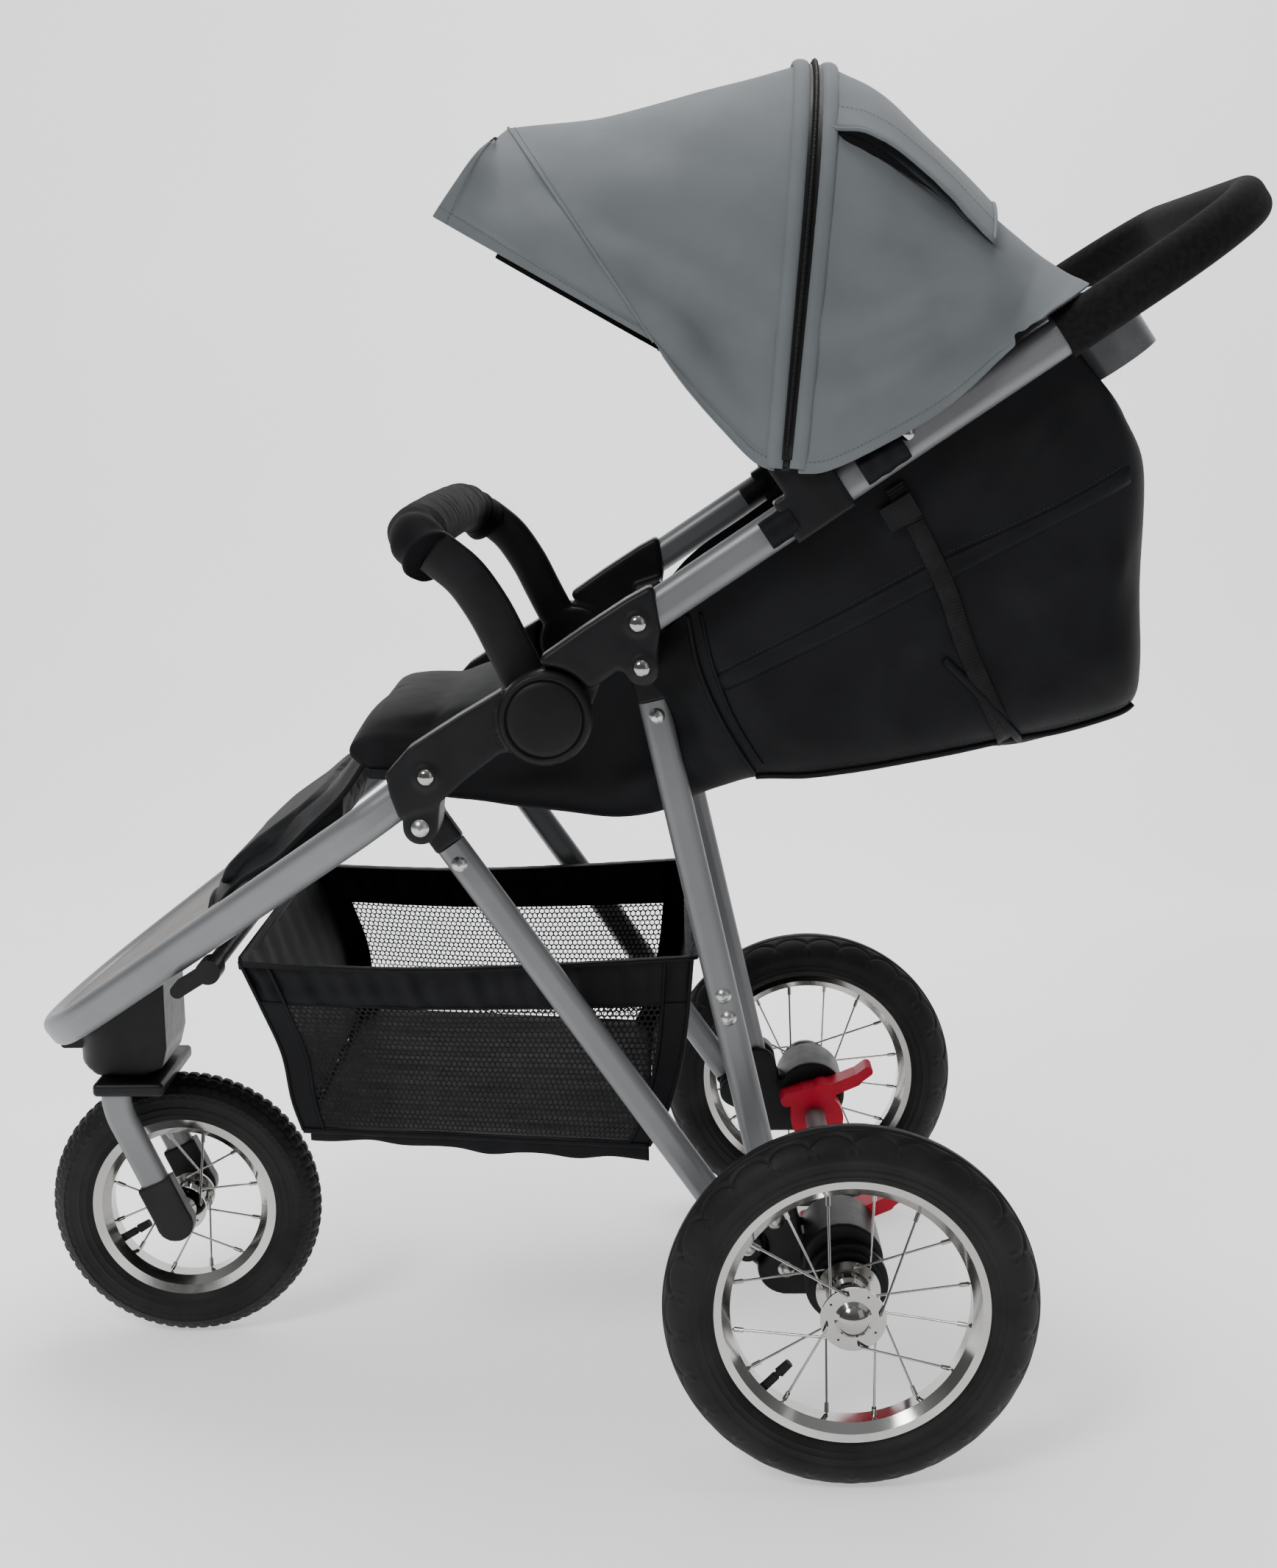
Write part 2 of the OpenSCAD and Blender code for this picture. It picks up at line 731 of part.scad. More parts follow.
// covers over the blade ends and the axle's ends
module dropout_covers() {
    d = unit(front_axle - fork_knee);
    color("#1d1e20") both_sides() difference() {
        slab(fork_leg_y - 8.5, fork_leg_y + 8.5) {
            link_bar(front_axle - d * 42, front_axle, 33);
            translate(front_axle) circle(17);
        }
        translate([0, fork_leg_y, 0]) rotate([90, 0, 0])
            sweep_path([front_axle - d * 60, front_axle - d * 26], []) oval_flat(13.2, 27.2);
        cross_pin(front_axle, front_axle_r, fork_leg_y - 10, fork_leg_y + 5);
    }
}

module front_axle_bolt() {
    color("#b9babc") cross_pin(front_axle, front_axle_r, -fork_leg_y - 5, fork_leg_y + 5);
}

// ---------- handle frame ----------

function handle_path() = [
    [-60, tube_y], [handle_len, tube_y], [handle_len, -tube_y], [-60, -tube_y]
];

module handle_tube() {
    color("#9a9c9e") on_slope(handle_joint, handle_slope)
        sweep_path(handle_path(), [handle_corner_r, handle_corner_r])
            oval_tube(main_tube_w, main_tube_h, tube_wall);
}

// foam grip over the bend and the upper ends of the handle tubes
module handle_grip() {
    grip_start = 356;
    path = [[grip_start, tube_y], [handle_len, tube_y], [handle_len, -tube_y], [grip_start, -tube_y]];
    color("#151618") on_slope(handle_joint, handle_slope)
        sweep_path(path, [handle_corner_r, handle_corner_r]) difference() {
            oval(28, 37);
            oval(main_tube_w + 0.1, main_tube_h + 0.1);
        }
}

// moulded casting from the handle tube to the hub, with an ear for the rear leg
module upper_housings() {
    start = slope_point(handle_joint, handle_slope, -8, 0);
    stop = slope_point(handle_joint, handle_slope, -70, -3);
    color("#222326") both_sides() difference() {
        union() {
            slab(housing_in_y, housing_out_y) {
                link_bar(stop, start, 40);
                link(stop + [4, -6], [26, 684], 40);
            }
            slab(hub_mid_y, hub_out_y - side_gap) {
                translate(hub) circle(hub_r - 1);
                link(hub, stop, 36);
            }
            slab(rear_leg_y + 8.4 + 2, housing_out_y) link([24, 672], upper_pivot, 27);
        }
        // room for the front frame's disc, the tube, and the pin
        cross_pin(hub, hub_r + 1.5, hub_out_y - side_gap, housing_out_y + 1);
        on_slope(handle_joint, handle_slope) translate([-61, tube_y, 0]) rotate([90, 0, 90])
            linear_extrude(62) oval(main_tube_w + 0.2, main_tube_h + 0.2);
        cross_pin(hub, hub_pin_r + run_fit, hub_mid_y - 1, housing_out_y + 1);
    }
    color("#c8c9ca") both_sides() {
        bolt_head(upper_pivot, housing_out_y + 0.1, 7);
        bolt_head([26, 689], housing_out_y + 0.1, 7);
    }
}

// clamp on each handle tube with the canopy's pivot boss above it
module canopy_joints() {
    along = (canopy_pivot - handle_joint) * [cos(handle_slope), sin(handle_slope)];
    color("#202124") both_sides() difference() {
        union() {
            on_slope(handle_joint, handle_slope) translate([along - 26, tube_y - 13.5, -18]) cube([52, 27, 36]);
            slab(tube_y + 4, tube_y + 13.5) link(slope_point(handle_joint, handle_slope, along, 10), canopy_pivot, 30);
            cross_pin(canopy_pivot, 6, tube_y + 13.5, tube_y + 22);
        }
        on_slope(handle_joint, handle_slope) translate([along - 30, tube_y, 0]) rotate([90, 0, 90])
            linear_extrude(60) oval(main_tube_w + 0.1, main_tube_h + 0.1);
    }
}

// webbing that hangs from each handle tube and carries the reclined back
module recline_straps() {
    strap_t = 1.6;
    color("#141518") both_sides() difference() {
        union() {
            on_slope(handle_joint, handle_slope) translate([176, tube_y - 13.4, -18.4]) cube([40, 26.8, 36.8]);
            slab(237.6, 237.6 + strap_t) {
                link_bar([213, 792], [259, 714], 20);
                link_bar([259, 714], [320, 592], 24);
            }
            slab(237.6, 243) link_bar([206, 803.9], [214, 790.3], 20);
        }
        on_slope(handle_joint, handle_slope) translate([170, tube_y, 0]) rotate([90, 0, 90])
            linear_extrude(52) oval(main_tube_w + 0.1, main_tube_h + 0.1);
    }
}

// slide buckle that sets the length of each recline strap
module strap_sliders() {
    color("#1d1e20") both_sides() slab(239.6, 243.4) link_bar([222, 778], [232, 761], 27);
}

// tray between the handle tubes with a cup well on each side
module parent_tray() {
    cup_r = 37;
    wall = 2.5;
    cup_x = 388;
    cup_y = 190;
    depth = 52;
    color("#77797c") on_slope(handle_joint, handle_slope) {
        difference() {
            union() {
                translate([cup_x - 40, -cup_y, 2]) cube([80, 2 * cup_y, 3]);
                for (s = [-1, 1]) translate([cup_x, s * cup_y, 5 - depth]) cylinder(r = cup_r, h = depth);
                translate([cup_x - 34, -100, -25]) cube([68, 200, 28]);
            }
            for (s = [-1, 1]) translate([cup_x, s * cup_y, 5 - depth + wall]) cylinder(r = cup_r - wall, h = depth);
            translate([cup_x - 34 + wall, -100 + wall, -25 + wall]) cube([68 - 2 * wall, 200 - 2 * wall, 60]);
        }
        // two arms clip the tray to the handle tubes
        both_sides() translate([cup_x - 12, 225, -4]) cube([24, 15.6, 8]);
    }
}

tub_wall = 4;
tub_front_half = 178;
tub_half = 236;
tub_back = [[80, 549], [174, 553], [333, 573], [420, 596], [436, 608], [428, 640], [425, 779], [408, 830],
    [352, 872], [80, 694]];
tub_back_hollow = [[84, 553], [174, 557], [333, 577], [419, 600], [431, 611], [424, 640], [421, 778], [404, 828],
    [352, 880], [84, 703]];
tub_front = [[-140, 538], [-72, 527], [-8, 517], [45, 520], [84, 549], [84, 640], [-30, 612], [-140, 580]];
tub_front_hollow = [[-144, 544], [-72, 531], [-8, 521], [44, 524], [88, 556], [88, 645], [-30, 617], [-144, 585]];

// fabric tub that holds the seat: narrow between the legs, wide behind them
module seat_tub() {
    color("#17181b") {
        difference() {
            union() {
                slab(-tub_half, tub_half) polygon(tub_back);
                slab(-tub_front_half, tub_front_half) polygon(tub_front);
            }
            slab(-tub_half + tub_wall, tub_half - tub_wall) polygon(tub_back_hollow);
            slab(-tub_front_half + tub_wall, tub_front_half - tub_wall) polygon(tub_front_hollow);
        }
    }
}

recline_hinge = [62, 576];

// back cushion on its board, with the rolled seam that it reclines on along its front edge
module seat_back() {
    color("#1a1b1e") {
        slab(-170, 170) {
            polygon([[62, 564], [92, 561.5], [92, 588], [62, 588]]);
            translate(recline_hinge) circle(7);
        }
        slab(-205, 205) polygon([
            [92, 561.5], [100, 561], [333, 583], [386, 598], [388, 624], [333, 612], [100, 588], [92, 588]
        ]);
    }
}

// ---------- canopy ----------

canopy_half_w = 279;
canopy_corner = 150;
// how far the canopy's ridge stands from its pivot, by angle
ridge = [[26, 286], [42, 274], [60, 296], [80, 324], [100, 337], [130, 350], [150, 347]];
function ridge_r(a) = lookup(a, ridge);

// one arch of the canopy in polar form: distance from the pivot and place across
function arch(r, half_w, start_r, corner) = concat(
    [for (t = [0, 0.5]) [start_r + (r - corner - start_r) * t, half_w]],
    [for (q = [0 : 15 : 90]) [r - corner + corner * sin(q), half_w - corner + corner * cos(q)]],
    [for (q = [90 : -15 : 0]) [r - corner + corner * sin(q), -half_w + corner - corner * cos(q)]],
    [for (t = [0.5, 0]) [start_r + (r - corner - start_r) * t, -half_w]]
);
function arch_row(a, inset) = [
    for (p = arch(ridge_r(a) - inset, canopy_half_w - inset, 30, canopy_corner - inset))
        [canopy_pivot[0] + p[0] * cos(a), p[1], canopy_pivot[1] + p[0] * sin(a)]
];

module canopy_skin(from, to, steps) {
    skin(
        [for (i = [0 : steps]) arch_row(from + (to - from) * i / steps, 0)],
        [for (i = [0 : steps]) arch_row(from + (to - from) * i / steps, 2.4)]
    );
}

module canopy_rear() { color("#6d6f72") canopy_skin(29, 84.5, 9); }

module canopy_front() { color("#6d6f72") canopy_skin(86, canopy_front_angle, 9); }

bow_corner = 147;

// flat strip bent into an arch, with an eye on the canopy's pivot at each end
module bow(angle, radius, half_w) {
    color("#1d1e20") {
        on_slope(canopy_pivot, angle)
            sweep_path([[14, half_w], [radius, half_w], [radius, -half_w], [14, -half_w]], [bow_corner, bow_corner])
                square([2, 10], center = true);
        both_sides() difference() {
            cross_pin(canopy_pivot, 16, half_w - 1.2, half_w + 1.2);
            cross_pin(canopy_pivot, 6 + run_fit, half_w - 2, half_w + 2);
        }
    }
}

module canopy_front_bow() { bow(130, ridge_r(130) - 7.5, 273.8); }

module canopy_mid_bow() { bow(85, ridge_r(85) - 5, 270.8); }

// ---------- bumper bar ----------

bumper_elbow = [-96, 712];
bumper_slope = 155;
bumper_reach = 76;

module bumper_bar() {
    arm_out = hub_mid_y - side_gap;
    color("#1b1c1e") {
        both_sides() difference() {
            slab(hub_in_y, arm_out) {
                translate(hub) circle(hub_r - 3);
                link(hub, [-72, 664], 40);
                link([-72, 664], [-80, 690], 34);
                link([-80, 690], bumper_elbow, 31);
            }
            cross_pin(hub, hub_pin_r + run_fit, hub_in_y - 1, arm_out + 1);
        }
        on_slope(bumper_elbow, bumper_slope) sweep_path([[0, 231.8], [bumper_reach, 231.8],
            [bumper_reach, -231.8], [0, -231.8]], [60, 60]) circle(7.4);
    }
}

// padded sleeve over the cross bar
module bumper_sleeve() {
    color("#161719") on_slope(bumper_elbow, bumper_slope) sweep_path([[20, 231.8], [bumper_reach, 231.8],
        [bumper_reach, -231.8], [20, -231.8]], [50, 50]) difference() {
            oval(40, 50);
            circle(12);
        }
}

// ---------- assembly ----------

rear_legs();
rear_leg_caps();
rear_brackets();
axle_tube();
wheel_axles();
drum_covers();
rear_bolts();
brake_pedal(-1);  // brake_pedal_left
brake_pedal(1);  // brake_pedal_right
rear_tyre(-1);  // rear_tyre_left
rear_tyre(1);  // rear_tyre_right
rear_rim(-1);  // rear_rim_left
rear_rim(1);  // rear_rim_right
rear_spokes(-1);  // rear_spokes_left
rear_spokes(1);  // rear_spokes_right
rear_hub(-1);  // rear_hub_left
rear_hub(1);  // rear_hub_right
rear_valve(-1);  // rear_valve_left
rear_valve(1);  // rear_valve_right
front_legs();
front_leg_caps();
front_leg_bolts();
front_tube();
lower_housings();
pivot_pins();
hub_caps();
footrest();
fork_housing();
basket_mount();
basket();
seat_board();
seat_pad();
calf_rest();
lap_belt();
buckle();
buckle_button();
fork();
dropout_covers();
front_axle_bolt();
swivel_lock();
front_tyre();
front_rim();
front_spokes();
front_hub();
front_valve();
handle_tube();
handle_grip();
upper_housings();
canopy_joints();
recline_straps();
strap_sliders();
parent_tray();
seat_tub();
canopy_rear();
canopy_front_bow();
canopy_front();
canopy_mid_bow();
bumper_bar();
bumper_sleeve();
seat_back();
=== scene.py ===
"""Looks of the jogging stroller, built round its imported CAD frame.

Metres, +Z up, +X to the rear (push handle), +Y to the right side. Outlines are given in
millimetres and pass through mm() or flat_points().
"""

import json
import math

import bmesh
import bpy
from mathutils import Matrix, Vector, noise
from mathutils.bvhtree import BVHTree

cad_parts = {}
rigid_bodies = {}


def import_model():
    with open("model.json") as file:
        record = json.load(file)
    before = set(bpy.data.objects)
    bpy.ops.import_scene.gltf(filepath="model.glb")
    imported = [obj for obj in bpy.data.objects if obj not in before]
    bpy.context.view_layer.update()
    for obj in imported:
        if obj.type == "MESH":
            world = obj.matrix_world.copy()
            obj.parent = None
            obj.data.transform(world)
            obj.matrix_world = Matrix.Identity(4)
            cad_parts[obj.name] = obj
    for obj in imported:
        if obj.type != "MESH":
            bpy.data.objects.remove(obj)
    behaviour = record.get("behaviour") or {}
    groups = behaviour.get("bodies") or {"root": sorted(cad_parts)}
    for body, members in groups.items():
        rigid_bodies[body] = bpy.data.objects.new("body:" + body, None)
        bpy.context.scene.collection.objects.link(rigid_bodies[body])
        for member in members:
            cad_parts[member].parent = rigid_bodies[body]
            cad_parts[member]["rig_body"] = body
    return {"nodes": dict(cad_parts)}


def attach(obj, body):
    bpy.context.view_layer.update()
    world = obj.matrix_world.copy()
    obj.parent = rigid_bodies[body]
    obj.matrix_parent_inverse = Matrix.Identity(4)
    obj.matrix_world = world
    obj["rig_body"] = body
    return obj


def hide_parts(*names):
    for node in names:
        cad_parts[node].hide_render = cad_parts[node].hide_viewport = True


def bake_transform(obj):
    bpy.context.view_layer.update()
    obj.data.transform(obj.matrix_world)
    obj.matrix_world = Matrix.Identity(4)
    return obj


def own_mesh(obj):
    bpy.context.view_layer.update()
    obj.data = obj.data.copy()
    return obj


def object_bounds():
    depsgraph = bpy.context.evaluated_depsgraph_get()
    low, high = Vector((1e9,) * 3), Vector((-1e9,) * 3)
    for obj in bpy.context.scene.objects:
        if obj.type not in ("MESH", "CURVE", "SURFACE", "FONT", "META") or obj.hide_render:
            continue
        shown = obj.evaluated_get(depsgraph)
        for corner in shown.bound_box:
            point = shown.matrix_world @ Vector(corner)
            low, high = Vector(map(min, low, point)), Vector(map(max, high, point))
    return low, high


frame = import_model()
NODES = frame["nodes"]
CAD_BOX = [list(corner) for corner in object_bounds()]
LEFT, RIGHT = -1, 1


# ---------- measures ----------

CURVE_STEPS = 12


def mm(value):
    return value / 1000.0


def flat_points(points, y=0.0):
    """(x, z) pairs in millimetres as points at one place across."""
    return [Vector((mm(x), mm(y), mm(z))) for x, z in points]


def smoothstep(t):
    t = min(1.0, max(0.0, t))
    return t * t * (3 - 2 * t)


def running_length(points):
    lengths = [0.0]
    for a, b in zip(points, points[1:]):
        lengths.append(lengths[-1] + (b - a).length)
    return lengths


def at_length(points, lengths, want):
    k = 0
    while k < len(points) - 2 and lengths[k + 1] < want:
        k += 1
    span = max(lengths[k + 1] - lengths[k], 1e-9)
    return points[k].lerp(points[k + 1], (want - lengths[k]) / span)


def evenly(points, count):
    lengths = running_length(points)
    return [at_length(points, lengths, lengths[-1] * i / (count - 1)) for i in range(count)]


def curve_through(points, count):
    """A smooth curve through the points, as count points spread evenly along it."""
    n = len(points)
    dense = []
    for i in range(n - 1):
        p1, p2 = points[i], points[i + 1]
        p0 = points[i - 1] if i > 0 else p1 * 2 - p2
        p3 = points[i + 2] if i + 2 < n else p2 * 2 - p1
        for t in [s / CURVE_STEPS for s in range(CURVE_STEPS)]:
            dense.append(0.5 * (2 * p1 + (p2 - p0) * t + (2 * p0 - 5 * p1 + 4 * p2 - p3) * t * t
                                + (3 * p1 - p0 - 3 * p2 + p3) * t ** 3))
    return evenly(dense + [points[-1]], count)


def side_curve(line, count):
    """A smooth curve through (x, z) pairs in millimetres."""
    return curve_through(flat_points(line), count)


def rounded(points, radius, steps):
    """The polyline with each inner corner turned on an arc of the radius."""
    path = [points[0]]
    for a, b, c in zip(points, points[1:], points[2:]):
        before, after = (a - b).normalized(), (c - b).normalized()
        half = before.angle(after) / 2
        if half > math.pi / 2 - 0.01:
            path.append(b)
            continue
        reach = min(radius / math.tan(half), (a - b).length * 0.5, (c - b).length * 0.5)
        for i in range(steps + 1):
            t = i / steps
            path.append((b + before * reach).lerp(b, t).lerp(b.lerp(b + after * reach, t), t))
    return path + [points[-1]]


# ---------- meshes ----------

def new_object(name, verts, faces):
    mesh = bpy.data.meshes.new(name)
    mesh.from_pydata([tuple(v) for v in verts], [], faces)
    mesh.validate()
    obj = bpy.data.objects.new(name, mesh)
    bpy.context.scene.collection.objects.link(obj)
    mesh.shade_smooth()
    return obj


def edit(obj, change):
    bm = bmesh.new()
    bm.from_mesh(obj.data)
    change(bm)
    bm.to_mesh(obj.data)
    bm.free()
    return obj


def face_outward(obj):
    return edit(obj, lambda bm: bmesh.ops.recalc_face_normals(bm, faces=bm.faces))


def weld(obj, distance=1e-6):
    return edit(obj, lambda bm: bmesh.ops.remove_doubles(bm, verts=bm.verts, dist=distance))


def grid(name, rows):
    """A quad sheet through rows of points, with its UV map in metres."""
    n, m = len(rows), len(rows[0])
    faces = [(i * m + j, i * m + j + 1, (i + 1) * m + j + 1, (i + 1) * m + j)
             for i in range(n - 1) for j in range(m - 1)]
    obj = new_object(name, [p for row in rows for p in row], faces)
    along = running_length([row[m // 2] for row in rows])
    across = running_length(rows[n // 2])
    layer = obj.data.uv_layers.new(name="cloth")
    for loop in obj.data.loops:
        i, j = divmod(loop.vertex_index, m)
        layer.data[loop.index].uv = (across[j], along[i])
    return obj


def grid_normals(rows, away_from):
    """Unit normals of a grid of points, all turned away from one point."""
    n, m = len(rows), len(rows[0])
    result = []
    for i in range(n):
        line = []
        for j in range(m):
            du = rows[min(i + 1, n - 1)][j] - rows[max(i - 1, 0)][j]
            dv = rows[i][min(j + 1, m - 1)] - rows[i][max(j - 1, 0)]
            normal = du.cross(dv)
            if normal.length < 1e-12:
                normal = rows[i][j] - away_from
            normal.normalize()
            line.append(-normal if normal.dot(rows[i][j] - away_from) < 0 else normal)
        result.append(line)
    return result


def pushed(rows, away_from, height):
    """The grid moved along its normals by height(point, i, j) in metres."""
    normals = grid_normals(rows, away_from)
    return [[p + normals[i][j] * height(p, i, j) for j, p in enumerate(row)] for i, row in enumerate(rows)]


def sweep(name, path, section, closed=False, up=(0, 1, 0), size=None):
    """Sweeps a closed outline along a path: its x runs sideways, its y along up."""
    n, m = len(path), len(section)
    up = Vector(up)
    side, rings = None, []
    travelled = running_length(path)
    for i, p in enumerate(path):
        a = path[i - 1] if closed or i > 0 else p
        b = path[(i + 1) % n] if closed or i + 1 < n else p
        tangent = (b - a).normalized()
        if side is None:
            side = tangent.cross(up)
        side = (side - tangent * side.dot(tangent)).normalized()
        lift = side.cross(tangent).normalized()
        grow = size(travelled[i], travelled[-1]) if size else 1.0
        rings.append([p + (side * x + lift * y) * grow for x, y in section])
    faces = [(i * m + j, i * m + (j + 1) % m, (i + 1) % n * m + (j + 1) % m, (i + 1) % n * m + j)
             for i in range(n if closed else n - 1) for j in range(m)]
    if not closed:
        faces += [tuple(range(m)), tuple((n - 1) * m + j for j in reversed(range(m)))]
    obj = new_object(name, [v for ring in rings for v in ring], faces)
    around = running_length(rings[n // 2])
    layer = obj.data.uv_layers.new(name="cloth")
    for loop in obj.data.loops:
        i, j = divmod(loop.vertex_index, m)
        layer.data[loop.index].uv = (around[j], travelled[i])
    return face_outward(obj)


def round_section(width, height, steps=16):
    angles = [2 * math.pi * i / steps for i in range(steps)]
    return [(mm(width) / 2 * math.cos(a), mm(height) / 2 * math.sin(a)) for a in angles]


def lathe(name, profile, at, steps):
    """Turns (radius, across) pairs in millimetres round an axle along Y through a point."""
    m = len(profile)
    verts = []
    for a in [2 * math.pi * i / steps for i in range(steps)]:
        verts += [at + Vector((mm(r) * math.cos(a), mm(y), mm(r) * math.sin(a))) for r, y in profile]
    faces = [(i * m + k, (i + 1) % steps * m + k, (i + 1) % steps * m + k + 1, i * m + k + 1)
             for i in range(steps) for k in range(m - 1)]
    return face_outward(weld(new_object(name, verts, faces)))


def join(name, objects):
    with bpy.context.temp_override(active_object=objects[0], object=objects[0],
                                   selected_editable_objects=objects, selected_objects=objects):
        bpy.ops.object.join()
    objects[0].name = name
    return objects[0]


def apply_modifiers(obj):
    graph = bpy.context.evaluated_depsgraph_get()
    graph.update()
    mesh = bpy.data.meshes.new_from_object(obj.evaluated_get(graph))
    obj.modifiers.clear()
    obj.data = mesh
    return obj


def subdivided(obj, levels=1):
    obj.modifiers.new("rounder", "SUBSURF").levels = levels
    return apply_modifiers(obj)


def thickened(obj, thickness, lining=0):
    """Gives a sheet its thickness, inward. lining is the material slot of its inner face."""
    solid = obj.modifiers.new("thickness", "SOLIDIFY")
    solid.thickness = mm(thickness)
    solid.offset = -1
    solid.material_offset = lining
    return apply_modifiers(obj)


def node_copy(name, new_name):
    obj = bpy.data.objects.new(new_name, NODES[name].data.copy())
    bpy.context.scene.collection.objects.link(obj)
    obj.data.materials.clear()
    return weld(obj, 2e-6)


def remeshed(obj, voxel, relax):
    remesh = obj.modifiers.new("even", "REMESH")
    remesh.mode = "VOXEL"
    remesh.voxel_size = mm(voxel)
    smooth = obj.modifiers.new("relax", "SMOOTH")
    smooth.iterations = relax
    apply_modifiers(obj)
    obj.data.shade_smooth()
    return obj


def dressed(obj, *materials):
    """Gives a mesh these materials and no others."""
    obj.data.materials.clear()
    for material in materials:
        obj.data.materials.append(material)
    return obj


def face_away(obj, heart):
    """Turns the faces of an open sheet away from a point."""
    face_outward(obj)
    out = sum((face.center - heart).dot(face.normal) for face in obj.data.polygons)
    if out < 0:
        edit(obj, lambda bm: bmesh.ops.reverse_faces(bm, faces=bm.faces))
    return obj


def cloth_sheet(name, rows, heart, thickness, *materials):
    """A smoothed sheet of cloth and its area. A second material is its lining."""
    obj = subdivided(face_away(dressed(grid(name, rows), *materials), heart))
    area = sum(face.area for face in obj.data.polygons)
    return thickened(obj, thickness, lining=len(materials) - 1), area


def finish_piece(obj, material, body=None, *nodes, slot=None):
    """Gives a piece its material, the body it rides on and the CAD nodes it stands for."""
    dressed(obj, material)
    if body:
        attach(obj, body)
    if nodes:
        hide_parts(*nodes)
    return obj


STITCH_PITCH, STITCH_LENGTH, STITCH_THICK = mm(3.4), mm(2.3), mm(0.6)


def stitches(name, points, normals, material):
    """A row of thread stitches along points on a surface."""
    lengths = running_length(points)
    verts, faces = [], []
    for k in range(int(lengths[-1] / STITCH_PITCH)):
        start = STITCH_PITCH * k
        a = at_length(points, lengths, start)
        b = at_length(points, lengths, start + STITCH_LENGTH)
        along = (b - a).normalized()
        near = min(range(len(points)), key=lambda i: abs(lengths[i] - start))
        up = normals[near]
        side = along.cross(up).normalized()
        base = len(verts)
        for t, fat in ((0, 0.3), (0.5, 1), (1, 0.3)):
            for s, u in ((-1, 0), (0, 1), (1, 0), (0, -0.4)):
                verts.append(a.lerp(b, t) + (side * s * 0.5 + up * u * 0.6) * STITCH_THICK * fat)
        for ring in (base, base + 4):
            faces += [(ring + j, ring + (j + 1) % 4, ring + 4 + (j + 1) % 4, ring + 4 + j) for j in range(4)]
        faces += [(base, base + 1, base + 2, base + 3), (base + 11, base + 10, base + 9, base + 8)]
    return dressed(new_object(name, verts, faces), material)


# ---------- materials ----------

class Finish:
    """A Principled material whose nodes are added by short calls."""

    def __init__(self, name, color, roughness, metallic=0.0, **sockets):
        self.material = bpy.data.materials.new(name)
        self.material.use_nodes = True
        self.tree = self.material.node_tree
        self.bsdf = self.tree.nodes["Principled BSDF"]
        self.set("Base Color", (*color, 1))
        self.set("Roughness", roughness)
        self.set("Metallic", metallic)
        for key, value in sockets.items():
            self.set(key.replace("_", " "), value)
        self.place = self.add("TexCoord").outputs["Object"]
        self.flat = self.add("TexCoord").outputs["UV"]
        self.normal = None

    def set(self, socket, value):
        if isinstance(value, bpy.types.NodeSocket):
            self.tree.links.new(value, self.bsdf.inputs[socket])
        else:
            self.bsdf.inputs[socket].default_value = value

    def add(self, kind, inputs=None, **settings):
        made = self.tree.nodes.new("ShaderNode" + kind)
        for key, value in settings.items():
            setattr(made, key, value)
        for key, value in (inputs or {}).items():
            if isinstance(value, bpy.types.NodeSocket):
                self.tree.links.new(value, made.inputs[key])
            else:
                made.inputs[key].default_value = value
        return made

    def noise(self, scale, detail=3.0):
        return self.add("TexNoise", {"Vector": self.place, "Scale": scale, "Detail": detail}).outputs["Fac"]

    def cells(self, scale):
        return self.add("TexVoronoi", {"Vector": self.place, "Scale": scale}).outputs["Distance"]

    def threads(self, spacing, direction):
        """Height of parallel threads, with their spacing in millimetres."""
        return self.add("TexWave", {"Vector": self.flat, "Scale": math.pi / 10 / mm(spacing)},
                        bands_direction=direction).outputs["Fac"]

    def math(self, operation, a, b):
        return self.add("Math", {0: a, 1: b}, operation=operation).outputs[0]

    def spread(self, factor, low, high):
        return self.add("MapRange", {"Value": factor, "To Min": low, "To Max": high}).outputs["Result"]

    def tint(self, factor, dark, light, low=0.35, high=0.65):
        ramp = self.add("ValToRGB", {"Fac": factor})
        for stop, at, color in zip(ramp.color_ramp.elements, (low, high), (dark, light)):
            stop.position, stop.color = at, (*color, 1)
        self.set("Base Color", ramp.outputs["Color"])
        return self

    def rough(self, factor, low, high):
        self.set("Roughness", self.spread(factor, low, high))
        return self

    def bump(self, height, depth, strength=1.0):
        """One more bump layer, its depth in millimetres."""
        inputs = {"Height": height, "Distance": mm(depth), "Strength": strength}
        if self.normal:
            inputs["Normal"] = self.normal
        self.normal = self.add("Bump", inputs).outputs["Normal"]
        self.set("Normal", self.normal)
        return self


def woven(name, dark, light, roughness, thread, sheen, uneven=0.25, shine=0.12):
    """Woven cloth: crossed threads, uneven dye and a soft sheen."""
    cloth = Finish(name, dark, roughness, Sheen_Weight=sheen, Sheen_Roughness=0.4, Specular_IOR_Level=shine)
    weave = cloth.math("MULTIPLY", cloth.threads(thread, "X"), cloth.threads(thread, "Y"))
    cloth.tint(cloth.noise(14, 4), dark, light)
    cloth.rough(cloth.noise(60), roughness - 0.06, roughness + 0.08)
    cloth.bump(cloth.noise(26, 3), 1.2, uneven)
    cloth.bump(cloth.noise(900, 1), 0.12, 0.35)
    cloth.bump(weave, 0.12, 0.5)
    return cloth.material


def moulded_plastic(name, dark, light, roughness, grain=0.35):
    """Moulded plastic with the fine grain of its mould and light wear."""
    plastic = Finish(name, dark, roughness, Specular_IOR_Level=0.2)
    plastic.tint(plastic.noise(30, 5), dark, light)
    plastic.rough(plastic.noise(90, 4), roughness - 0.08, roughness + 0.1)
    plastic.bump(plastic.noise(1400, 2), 0.08, grain)
    return plastic.material


